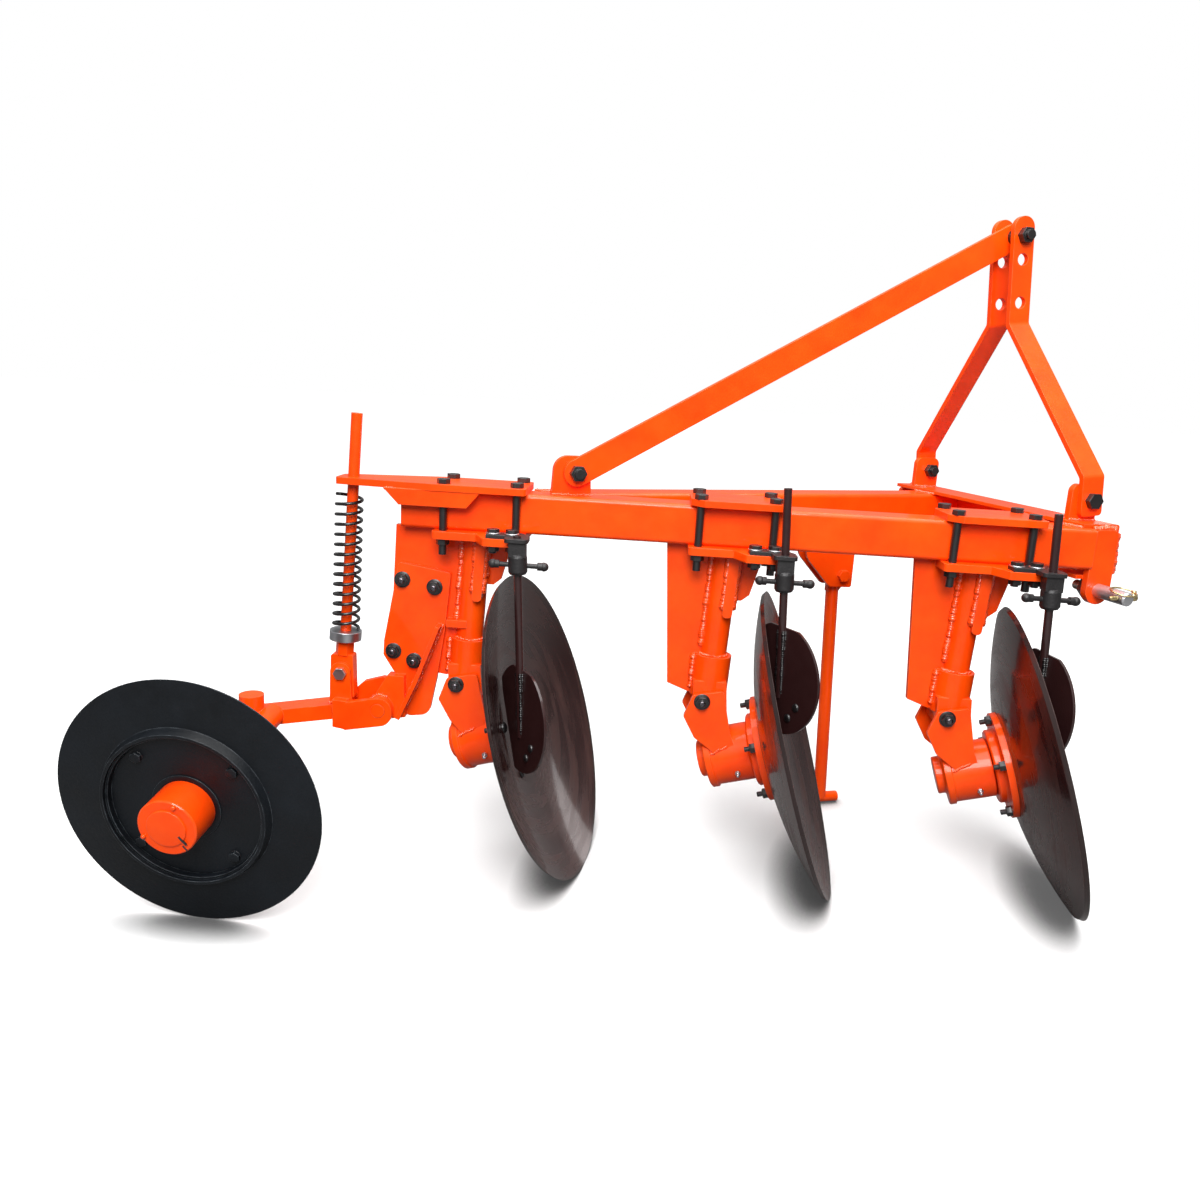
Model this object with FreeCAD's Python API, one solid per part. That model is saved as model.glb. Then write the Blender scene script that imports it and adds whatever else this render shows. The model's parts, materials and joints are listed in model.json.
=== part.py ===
import FreeCAD, Part
import math
import os

# Three-disc mounted plough. Lengths in mm, angles in degrees, +Z up.
# Two frames share one origin on the floor under the second disc's clamp:
#   beam frame    x along the slanting main beam, y to its left
#   travel frame  X the way the tractor pulls, Y to the left
# The beam frame is turned by BEAM_SLANT in the travel frame. At the end the
# whole plough is shifted so that its bounding box stands centred on the origin.
# Heights of whatever hangs below the beams count from the beams' under face,
# and mast heights from the mast's foot bolts. The discs' rims set the floor.

V = FreeCAD.Vector
BEAM_SLANT = 18.5
FAR = 2000.0          # beyond the whole plough, for cutting shapes off
DRILL_HALF = 120.0    # half length of a drill across a leg, the arm or the stand

# fits
RUN = 0.05            # radial clearance of a shaft that turns in its hole
BOLT_FIT = 0.5        # radial clearance of a bolt in its hole

# beams
BEAM = 82.0           # square tube
BEAM_WALL = 6.0
BEAM_ROUND = 9.0
BEAM_TOP = 811.0
BEAM_REAR = -688.0
BEAM_FLOOR = BEAM_TOP - BEAM
STRUT_FROM = (-318.0, 41.0)      # beam frame, where its near edge meets the main beam
STRUT_ANGLE = 8.0                # to the travel direction

# cross channel, travel frame, open side to the rear
CH_FRONT = 734.0
CH_DEPTH = 86.0
CH_WALL = 8.0
CH_TOP = BEAM_TOP + CH_WALL
CH_HEIGHT = 112.0
CH_MID = 98.0                    # Y of the hitch's middle plane
CH_HALF = 342.0
CH_REAR = CH_FRONT - CH_DEPTH
WEB_BACK = CH_FRONT - CH_WALL

# lower hitch
HITCH_X = 693.0
HITCH_Z = BEAM_FLOOR - 43.0
HITCH_T = 15.0
HITCH_HALF_W = 29.0
HITCH_TOP = BEAM_TOP - 2.0
PIN_R = 14.0
PIN_SHANK_R = 11.0               # inside the hitch plate
PIN_OUT = 82.0
PIN_NUT_R = 19.0
PIN_NUT = 20.0
PIN_TAIL = 26.0
PIN_TAIL_R = 10.0
LINCH_R = 5.0                    # linch pin's hole
LINCH_IN = 16.0                  # its middle from the pin's end

# mast
MAST_X = 695.0
MAST_FOOT_Z = BEAM_TOP + 50.0
MAST_LEAN = 5.8
ARM_W = 50.0
ARM_T = 12.0
ARM_HALF = 293.5                 # arm centre plane from the hitch's middle plane, at the foot
ARM_HALF_TOP = 33.3
ARM_Z = (-32.0, 48.0, 355.0, 580.0)    # foot, lower bend, upper bend, top
MAST_BOLT_Z = 540.0
TOP_LINK_Z = (491.0, 401.0)
TOP_LINK_R = 12.9
LUG_T = 14.0
MAST_BOLT_R = 10.0
MAST_BOLT_TAIL = 24.0
SPACER_R = 17.0                  # on the top bolt, between the stay and the arms

# stay
STAY_W = 55.0
STAY_T = 12.0
LUG_STAY_T = 12.0
STAY_FOOT = (-317.0, 47.0)       # travel frame X, height of its foot bolt above the beam

# clamps, beam frame
UNIT_X = (-523.0, 0.0, 510.0)
CLAMP_T = 14.0
CLAMP_X = 95.0
CLAMP_Y = 72.0
CLAMP_BOLT_X = 75.0
CLAMP_BOLT_Y = 51.0
CLAMP_BOLT_R = 8.0
CLAMP_CUT = 26.0
FOOT_T = 16.0
SHELF = (18.0, 86.0, -118.0)     # scraper shelf on the lower plate: x from, x to, y out

# legs, beam frame, from the clamp's middle and the beam's under face
PIPE_R = 28.5
PIPE_TOP = (-12.6, -29.0)
PIPE_LOW = (-27.5, -326.0)
SLEEVE_R = 40.0
SLEEVE_Z = (-237.0, -327.0)
WEB_T = 14.0
IN_FOOT = -13.0                  # webs start inside the foot plate
UNDER_BEAM = -1.0                # gussets reach almost to the beam behind that plate
GUSSET = ((-137, UNDER_BEAM), (-10, UNDER_BEAM), (-22, -259), (-50, -317), (-71, -323), (-116, -306))
REAR_GUSSET = ((-183, UNDER_BEAM), (-10, UNDER_BEAM), (-22, -259), (-50, -317), (-71, -323), (-158, -312, 20.0),
               (-203, -290, 16.0), (-206, -255, 12.0), (-189, -165))
FRONT_WEB = ((-5, IN_FOOT), (66, IN_FOOT), (42, -104), (26, -117), (-5, -117))
NEAR_WEB = ((-8, IN_FOOT), (14, IN_FOOT), (6, -149, 9.0), (-14, -149, 9.0))
TONGUE = ((-62, -289), (8, -289), (14, -357, 18.0), (-8, -385, 18.0), (-58, -351, 16.0))
CHEEK_IN = 41.0
CHEEK_T = 10.0
CHEEK_TOP = ((-61, -317, 10.0), (3, -305, 8.0), (24, -399))
CHEEK_BACK = ((-52, -411), (-78, -365, 6.0))
TILT_BOLT = (-41.0, -330.0)      # the hub tilts about it
LOCK_BOLT = (-4.0, -363.0)       # holds the tilt, screwed into the tongue from the far side
LOCK_DEPTH = 48.0
TILT_BOLT_R = 8.0

# discs
DISC_R = 330.0
DISC_T = 6.0
DISC_FLAT_R = 116.0
DISC_GRIND = 5.0                 # width of the ground edge
DISC_CAP_R = 809.0               # radius of the hollow face
DISC_AIM = (0.942, -0.137, 0.305)
HUB_AT = (-5.8, -445.4)          # y and height of the housing's front face
HUB_X = (59.2, 78.7, 78.2)       # its x in each unit
FLANGE_R = 112.0
FLANGE_T = 13.0
BOSS_R = 78.0
BOSS_L = 18.0
SEAM = 1.5
HOUSING_R = 62.0
HOUSING_L = 82.0
COLLAR_R = 66.0
COLLAR_L = 16.0
CAP_R = 40.0
CAP_L = 18.0
SPINDLE_R = 25.0
SPINDLE_L = 78.0

# scrapers, beam frame, from the clamp's middle and the beam's under face
SCRAPER_ROD_R = 8.0
SCRAPER_TOP = (83.0, -135.0, 137.0)
SCRAPER_LOW = (105.0, -135.0, -264.0)
ROD_DROP = (125.0, 0.0, 18.0)    # how far each rod is let down through its clamp
BLADE_R = 112.0
BLADE_T = 5.0
BLADE_YAW = (-57.0, -57.0, -79.0)
BLADE_DOWN = 378.0               # blade's middle below the rod's top
BLADE_GAP = 6.0                  # to the disc's hollow face
PAD_T = 8.0
CORE_Z = -25.0
HANDLE_Z = -46.0
HANDLE = (-50.0, 53.0)           # its ends, along HANDLE_DIR
HANDLE_DIR = V(1.0, 0.15, -0.04)
HANDLE_R = 5.0
KNOB_R = 8.0
KNOB_SHARE = 0.28                # knob's share of each half of the handle
PAD_BOLTS = (36.0, 74.0)
PAD_BOLT_Y = -96.0
PAD_BOLT_R = 7.5

# rear wheel, beam frame, heights from the beam's under face
REAR_Y = -18.0                   # middle plane of the spring and the arm
WHEEL_R = 252.8
WHEEL_T = 6.0
WHEEL_AT = (-984.0, -401.0)
WHEEL_YAW = -93.2
WHEEL_DIP = -7.8
RING_R = 154.5
RING_BASE_R = 163.0
RING_T = 25.0
DISH = 7.0
WHEEL_HUB_R = 55.0
WHEEL_HUB = (-58.0, 77.0)
AXLE_R = 20.0
AXLE_LONG = 355.0                # from the wheel's middle back to the axle's end
AXLE_TIP = 52.0
HOLDER_R = 25.0                  # sleeve that carries the axle
HOLDER_L = 140.0
HOLDER_END = 8.0                 # its closed end behind the axle
POST = (-1004.0, -62.0)
POST_R = 26.0
POST_Z = (-479.0, -380.0)
ARM_TOP = ((-828.0, -394.0), (-1012.0, -428.0))
ARM_H = 33.0
ARM_HALF_W = 31.0
ARM_JOINT = (-730.0, -398.0)
JOINT_PIN_R = 15.0
JOINT_BOSS_R = 28.0
YOKE_HALF = 44.0
YOKE_T = 15.0
YOKE_BASE = ((-828, -441), (-798, -446), (-798, -382), (-828, -380))
NEAR_FORK = ((-810, -387), (-802, -447), (-700, -428, 28.0), (-700, -364, 28.0))
FAR_FORK = ((-810, -443), (-700, -428, 28.0), (-700, -358, 26.0), (-737, -345, 6.0), (-780, -358, 6.0),
            (-810, -387))
ROD_TOP = (-786.0, 225.0)
EYE = (-816.0, -325.0)
EYE_BOLT_R = 8.0
EAR_T = 10.0
ROD_R = 11.5
ROD_BLOCK_HALF = 14.0
SPRING_R = 29.5
SPRING_WIRE = 3.4
SPRING_COILS = 13.5
SPRING_GAP = 22.0                # from the top plate's under face to the spring
SPRING_LEAN = 7.0                # how far the spring's top stands behind the rod's middle
SEAT_UP = 90.0                   # seat's upper face above the eye, along the rod
SEAT_T = 20.0
SEAT_R = 33.5
ROD_NUT = 34.0
REAR_PLATE_X = 36.0              # rear plate past the rod
REAR_PLATE_HALF = 34.0           # half its width at the rod
STIFF = ((-718, 1), (-520, 1), (-548, -32), (-686, -32))
REAR_RIB = ((-69.0, -25.0), (-31.0, 0.0), (-211.0, -195.0))    # from and to: x, y, height
BRACKET_T = 12.0
WHEEL_PLATE = ((-697, -79, 6.0), (-586, -96, 6.0), (-597, -224), (-612, -329), (-628, -413, 24.0),
               (-684, -421, 20.0), (-700, -329), (-729, -284, 8.0), (-728, -253, 10.0))
BRACKET_NECK = ((-749, -383), (-716, -325), (-680, -325), (-676, -417), (-730, -426))
BRACKET_RIB = ((-606, -207), (-652, -331), (-690, -417))
BRACKET_BOLTS = ((-689, -116), (-620, -128), (-707, -274), (-662, -293))
BRACKET_BOLT_R = 8.0
BRACKET_BOLT_TAIL = 17.0

# stand, travel frame, height from the beam's under face
STAND = (404.0, 270.0, -119.0)
STAND_R = 15.5
STAND_BACK = 12.5                # pipe's middle behind the pivot
STAND_TOE_X = 423.0
STAND_FOOT_R = 13.0
STAND_FOOT_L = 94.0
STAND_CHEEK_X = (-104.0, 26.0)   # its cheeks, from the pivot
STAND_CHEEK_T = 8.0
STAND_GAP = 1.5
STAND_PIN_R = 9.0


# ---------------------------------------------------------------- helpers
def outline(points, lift):
    """Face inside a closed outline; a third value on a point rounds that corner."""
    spots = [(lift(p[0], p[1]), p[2] if len(p) > 2 else 0.0) for p in points]
    turns = []
    for i, (p, r) in enumerate(spots):
        a = (spots[i - 1][0] - p).normalize()
        b = (spots[(i + 1) % len(spots)][0] - p).normalize()
        if r == 0.0:
            turns.append((p, None, p))
            continue
        half = a.getAngle(b) / 2
        out = (a + b).normalize()
        run = r / math.tan(half)
        turns.append((p + a * run, p + out * (r / math.sin(half) - r), p + b * run))
    edges = []
    for i, (start, mid, end) in enumerate(turns):
        if mid is not None:
            edges.append(Part.Arc(start, mid, end).toShape())
        nxt = turns[(i + 1) % len(turns)][0]
        if (nxt - end).Length > 1e-6:
            edges.append(Part.makeLine(end, nxt))
    return Part.Face(Part.Wire(edges))


def plate_xy(points, z0, z1):
    return outline(points, lambda u, v: V(u, v, z0)).extrude(V(0, 0, z1 - z0))


def plate_xz(points, y0, y1):
    return outline(points, lambda u, v: V(u, y0, v)).extrude(V(0, y1 - y0, 0))


def plate_yz(points, x0, x1):
    return outline(points, lambda u, v: V(x0, u, v)).extrude(V(x1 - x0, 0, 0))


def box(x0, x1, y0, y1, z0, z1):
    return Part.makeBox(x1 - x0, y1 - y0, z1 - z0, V(x0, y0, z0))


def bar(a, b, r):
    return Part.makeCylinder(r, (b - a).Length, a, b - a)


def along(base, aim, turn=0.0):
    """Placement that takes local +Z to aim and the local origin to base."""
    spin = FreeCAD.Rotation(V(0, 0, 1), turn)
    return FreeCAD.Placement(base, FreeCAD.Rotation(V(0, 0, 1), aim).multiply(spin))


def turned(profile, base, aim):
    """Solid of revolution from (radius, distance along aim) corners."""
    face = outline(profile, lambda u, v: V(u, 0, v))
    solid = face.revolve(V(0, 0, 0), V(0, 0, 1), 360)
    solid.Placement = along(base, aim)
    return solid


def prism(sides, across, height, base, aim):
    """Nut or bolt head, measured across its flats."""
    r = across / 2 / math.cos(math.pi / sides)
    ring = [V(r * math.cos(2 * math.pi * i / sides), r * math.sin(2 * math.pi * i / sides), 0)
            for i in range(sides)]
    solid = Part.Face(Part.makePolygon(ring + ring[:1])).extrude(V(0, 0, height))
    solid.Placement = along(base, aim)
    return solid


def bolt(seat, aim, grip, r, tail):
    """Hex bolt: head on seat, shank along aim through grip, nut beyond it."""
    aim = V(aim).normalize()
    head = prism(6, 3.0 * r, 1.25 * r, seat, aim * -1)
    nut = prism(6, 3.0 * r, 1.6 * r, seat + aim * grip, aim)
    return head.fuse([nut, bar(seat, seat + aim * (grip + tail), r)])


def joined(parts):
    return parts[0].fuse(parts[1:]).removeSplitter()


def to_travel(shape):
    out = shape.copy()
    out.rotate(V(0, 0, 0), V(0, 0, 1), -BEAM_SLANT)
    return out


def turn_point(p, degrees):
    return FreeCAD.Rotation(V(0, 0, 1), degrees).multVec(p)


def aside(points, t):
    """Outline of a bent strip: centre line points and thickness, mitred at the bends."""
    sides = ([], [])
    for i, p in enumerate(points):
        a = points[max(i - 1, 0)]
        b = points[min(i + 1, len(points) - 1)]
        if 0 < i < len(points) - 1:
            d1 = V(p[0] - a[0], p[1] - a[1], 0).normalize()
            d2 = V(b[0] - p[0], b[1] - p[1], 0).normalize()
        else:
            d1 = d2 = V(b[0] - a[0], b[1] - a[1], 0).normalize()
        n = V(-d1.y - d2.y, d1.x + d2.x, 0).normalize()
        reach = t / 2 / n.dot(V(-d1.y, d1.x, 0))
        for side, sign in zip(sides, (1, -1)):
            side.append((p[0] + n.x * reach * sign, p[1] + n.y * reach * sign))
    return sides[0] + sides[1][::-1]


def square_tube(length, cap):
    """Beam along +x from the origin, centred on y, top at BEAM_TOP; cap closes the start."""
    def section(half, r, x):
        z0, z1 = BEAM_TOP - BEAM / 2 - half, BEAM_TOP - BEAM / 2 + half
        corners = [(-half, z0, r), (half, z0, r), (half, z1, r), (-half, z1, r)]
        return outline(corners, lambda u, v: V(x, u, v))
    outer = section(BEAM / 2, BEAM_ROUND, 0).extrude(V(length, 0, 0))
    start = BEAM_WALL if cap else -1.0
    inner = section(BEAM / 2 - BEAM_WALL, BEAM_ROUND - BEAM_WALL, start)
    return outer.cut(inner.extrude(V(length + 2, 0, 0)))


nodes = {}

# ---------------------------------------------------------------- frame, travel frame
ahead = box(WEB_BACK, FAR, -FAR, FAR, 0, FAR)

main_beam = square_tube(FAR, True)
main_beam.translate(V(BEAM_REAR, 0, 0))

strut = square_tube(FAR, False)
strut.translate(V(-2.5 * BEAM, BEAM / 2, 0))
strut.rotate(V(0, 0, 0), V(0, 0, 1), STRUT_ANGLE)
strut.translate(turn_point(V(STRUT_FROM[0], STRUT_FROM[1], 0), -BEAM_SLANT))
beam_side = to_travel(box(-FAR, FAR, -FAR, BEAM / 2, 0, FAR))
behind = to_travel(box(-FAR, UNIT_X[0] + CLAMP_X + 5, -FAR, FAR, 0, FAR))

channel = plate_xz([(CH_REAR, CH_TOP), (CH_FRONT, CH_TOP, 6.0), (CH_FRONT, CH_TOP - CH_HEIGHT, 6.0),
                    (CH_REAR, CH_TOP - CH_HEIGHT), (CH_REAR, CH_TOP - CH_HEIGHT + CH_WALL),
                    (WEB_BACK, CH_TOP - CH_HEIGHT + CH_WALL, 5.0), (WEB_BACK, CH_TOP - CH_WALL, 5.0),
                    (CH_REAR, CH_TOP - CH_WALL)], CH_MID - CH_HALF, CH_MID + CH_HALF)
beside = box(HITCH_X - HITCH_HALF_W, FAR, -FAR, CH_MID - CH_HALF, 0, FAR)
nodes["main_beam"] = to_travel(main_beam).cut([ahead, channel, beside])
nodes["strut_beam"] = strut.cut([ahead, channel, beam_side, behind])
cross = [channel]
for side in (-1, 1):
    face = CH_MID + side * CH_HALF
    cheek = plate_xz([(HITCH_X - HITCH_HALF_W, HITCH_TOP, 12.0), (HITCH_X + HITCH_HALF_W, HITCH_TOP, 12.0),
                      (HITCH_X + HITCH_HALF_W, HITCH_Z - HITCH_HALF_W, HITCH_HALF_W),
                      (HITCH_X - HITCH_HALF_W, HITCH_Z - HITCH_HALF_W, HITCH_HALF_W)],
                     face, face + side * HITCH_T)
    outer = face + side * HITCH_T
    pin_hole = bar(V(HITCH_X, face - side, HITCH_Z), V(HITCH_X, outer + side, HITCH_Z), PIN_SHANK_R)
    cross.append(cheek.cut(pin_hole))
    lug_face = CH_MID + side * (ARM_HALF - ARM_T / 2)
    lug = plate_xz([(MAST_X - 40, CH_TOP), (MAST_X + 24, CH_TOP), (MAST_X + 24, MAST_FOOT_Z + 32, 16.0),
                    (MAST_X - 40, MAST_FOOT_Z + 32, 16.0)], lug_face - side * LUG_T, lug_face)
    cross.append(lug.cut(bar(V(MAST_X, lug_face - side * (LUG_T + 1), MAST_FOOT_Z),
                             V(MAST_X, lug_face + side, MAST_FOOT_Z), MAST_BOLT_R + BOLT_FIT)))
    nut = -HITCH_T - PIN_NUT
    pin = turned([(0, nut - PIN_TAIL), (PIN_TAIL_R, nut - PIN_TAIL), (PIN_TAIL_R, nut), (PIN_NUT_R - 5, nut),
                  (PIN_NUT_R, -HITCH_T - 9), (PIN_NUT_R, -HITCH_T), (PIN_SHANK_R, -HITCH_T), (PIN_SHANK_R, 0),
                  (PIN_R, 0), (PIN_R, PIN_OUT - 3), (PIN_R - 3, PIN_OUT), (0, PIN_OUT)],
                 V(HITCH_X, outer, HITCH_Z), V(0, side, 0))
    linch_y = outer + side * (PIN_OUT - LINCH_IN)
    linch_hole = bar(V(HITCH_X - 2 * PIN_R, linch_y, HITCH_Z),
                     V(HITCH_X + 2 * PIN_R, linch_y, HITCH_Z), LINCH_R)
    nodes["hitch_pin_right" if side < 0 else "hitch_pin_left"] = pin.cut(linch_hole)
nodes["cross_beam"] = joined(cross)

# mast: two bent flat bars, leaning back about their foot bolts
def leaned(shape):
    out = shape.copy()
    out.rotate(V(MAST_X, 0, MAST_FOOT_Z), V(0, 1, 0), -MAST_LEAN)
    return out


arm_z = [MAST_FOOT_Z + z for z in ARM_Z]
arm_side = [(MAST_X - ARM_W / 2, arm_z[0], 8.0), (MAST_X + ARM_W / 2, arm_z[0], 8.0),
            (MAST_X + ARM_W / 2, arm_z[3], ARM_W / 2), (MAST_X - ARM_W / 2, arm_z[3], ARM_W / 2)]
for side, name in ((-1, "mast_arm_right"), (1, "mast_arm_left")):
    line = [(CH_MID + side * ARM_HALF, arm_z[0] - 5), (CH_MID + side * ARM_HALF, arm_z[1]),
            (CH_MID + side * ARM_HALF_TOP, arm_z[2]), (CH_MID + side * ARM_HALF_TOP, arm_z[3] + 5)]
    strip = aside(line, ARM_T)
    strip = [(p[0], p[1], 0.0 if i in (0, 3, 4, 7) else 12.0) for i, p in enumerate(strip)]
    arm = plate_yz(strip, MAST_X - ARM_W / 2 - 1, MAST_X + ARM_W / 2 + 1)
    arm = arm.common(plate_xz(arm_side, -FAR, FAR))
    holes = [(0, MAST_BOLT_R + BOLT_FIT), (MAST_BOLT_Z, MAST_BOLT_R + BOLT_FIT)]
    holes += [(z, TOP_LINK_R) for z in TOP_LINK_Z]
    foot = V(MAST_X, CH_MID, MAST_FOOT_Z)
    arm = arm.cut([bar(foot + V(0, -FAR, z), foot + V(0, FAR, z), r) for z, r in holes])
    nodes[name] = leaned(arm)

mast_top = FreeCAD.Rotation(V(0, 1, 0), -MAST_LEAN).multVec(V(0, 0, MAST_BOLT_Z))
mast_top = V(MAST_X, CH_MID, MAST_FOOT_Z) + mast_top
arm_out = ARM_HALF_TOP + ARM_T / 2
arm_in = ARM_HALF_TOP - ARM_T / 2
top_seat = V(mast_top.x, CH_MID + arm_out, mast_top.z)
top_bolt = bolt(top_seat, V(0, -1, 0), 2 * arm_out, MAST_BOLT_R, MAST_BOLT_TAIL)
for side in (-1, 1):
    top_bolt = top_bolt.fuse(bar(V(mast_top.x, CH_MID + side * STAY_T / 2, mast_top.z),
                                 V(mast_top.x, CH_MID + side * arm_in, mast_top.z), SPACER_R))
mast_bolts = [top_bolt]
for side in (-1, 1):
    seat = V(MAST_X, CH_MID + side * (ARM_HALF + ARM_T / 2), MAST_FOOT_Z)
    mast_bolts.append(bolt(seat, V(0, -side, 0), ARM_T + LUG_T, MAST_BOLT_R, MAST_BOLT_TAIL))

# stay from its lug on the main beam to the mast's top bolt
foot = V(STAY_FOOT[0], CH_MID, BEAM_TOP + STAY_FOOT[1])
run = V(mast_top.x - foot.x, 0, mast_top.z - foot.z)
stay = plate_xz([(-STAY_W / 2, -STAY_W / 2, STAY_W / 2), (run.Length + STAY_W / 2, -STAY_W / 2, STAY_W / 2),
                 (run.Length + STAY_W / 2, STAY_W / 2, STAY_W / 2), (-STAY_W / 2, STAY_W / 2, STAY_W / 2)],
                -STAY_T / 2, STAY_T / 2)
stay = stay.cut([bar(V(x, -STAY_T, 0), V(x, STAY_T, 0), MAST_BOLT_R + BOLT_FIT) for x in (0, run.Length)])
rise = math.degrees(math.atan2(run.z, run.x))
stay.Placement = FreeCAD.Placement(foot, FreeCAD.Rotation(V(0, 1, 0), -rise))
nodes["stay_bar"] = stay
lug_y = CH_MID + STAY_T / 2
stay_lug = plate_xz([(foot.x - 50, BEAM_TOP), (foot.x + 34, BEAM_TOP), (foot.x + 29, foot.z + 34, 27.0),
                     (foot.x - 46, foot.z + 34, 30.0)], lug_y, lug_y + LUG_STAY_T)
stay_hole = bar(V(foot.x, -FAR, foot.z), V(foot.x, FAR, foot.z), MAST_BOLT_R + BOLT_FIT)
nodes["main_beam"] = joined([nodes["main_beam"], stay_lug.cut(stay_hole)])
stay_seat = V(foot.x, lug_y + LUG_STAY_T, foot.z)
mast_bolts.append(bolt(stay_seat, V(0, -1, 0), STAY_T + LUG_STAY_T, MAST_BOLT_R, MAST_BOLT_TAIL))
nodes["mast_bolts"] = Part.makeCompound(mast_bolts)

frame_nodes = set(nodes)

# ---------------------------------------------------------------- the three disc units, beam frame
aim = V(*DISC_AIM).normalize()
CAP_MID = math.sqrt(DISC_CAP_R ** 2 - DISC_R ** 2)      # cap's centre, ahead of the rim's plane


def cap_depth(r_cap, r):
    """How far behind the rim's plane a cap of this radius lies at r from the axis."""
    return math.sqrt(r_cap ** 2 - r ** 2) - CAP_MID


# stations along the axis, behind the rim's plane
S_FLANGE = cap_depth(DISC_CAP_R + DISC_T, DISC_FLAT_R)
S_BOSS = S_FLANGE + FLANGE_T
S_SEAM = S_BOSS + BOSS_L
S_HOUSE = S_SEAM + SEAM
S_COLLAR = S_HOUSE + HOUSING_L
S_CAP = S_COLLAR + COLLAR_L
S_END = S_CAP + CAP_L
HUB_FACE = V(0, HUB_AT[0], BEAM_FLOOR + HUB_AT[1])
RIM = HUB_FACE + aim * S_HOUSE
FLOOR = RIM.z - DISC_R * math.sqrt(1 - aim.z ** 2)


def cap_arc(r_cap, r0, r1):
    mid = (r0 + r1) / 2
    return Part.Arc(*[V(r, 0, cap_depth(r_cap, r)) for r in (r0, mid, r1)]).toShape()


def line_to(r0, z0, r1, z1):
    return Part.makeLine(V(r0, 0, z0), V(r1, 0, z1))


def spun(edges):
    return Part.Face(Part.Wire(edges)).revolve(V(0, 0, 0), V(0, 0, 1), 360)


def disc_shell():
    """Dished disc on local +Z: rim's plane at 0, hollow towards -Z, flat middle, ground edge."""
    back_r, edge_r = DISC_CAP_R + DISC_T, DISC_R - DISC_GRIND
    flat, back_flat = cap_depth(DISC_CAP_R, DISC_FLAT_R), cap_depth(back_r, DISC_FLAT_R)
    return spun([line_to(0, flat, DISC_FLAT_R, flat), cap_arc(DISC_CAP_R, DISC_FLAT_R, DISC_R),
                 line_to(DISC_R, 0, edge_r, cap_depth(back_r, edge_r)),
                 cap_arc(back_r, edge_r, DISC_FLAT_R), line_to(DISC_FLAT_R, back_flat, 0, back_flat),
                 line_to(0, back_flat, 0, flat)])


def scraped_room():
    """Space in front of the disc's hollow face that keeps the blade BLADE_GAP off it."""
    r_cap, far = DISC_CAP_R - BLADE_GAP, 2 * DISC_R
    flat, rim = cap_depth(r_cap, DISC_FLAT_R), cap_depth(r_cap, DISC_R)
    return spun([line_to(0, flat, DISC_FLAT_R, flat), cap_arc(r_cap, DISC_FLAT_R, DISC_R),
                 line_to(DISC_R, rim, far, rim), line_to(far, rim, far, -far), line_to(far, -far, 0, -far),
                 line_to(0, -far, 0, flat)])


def drill(x, z, r):
    """Cutter across the middle plane, in the beam frame."""
    return bar(V(x, -DRILL_HALF, z), V(x, DRILL_HALF, z), r)


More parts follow.
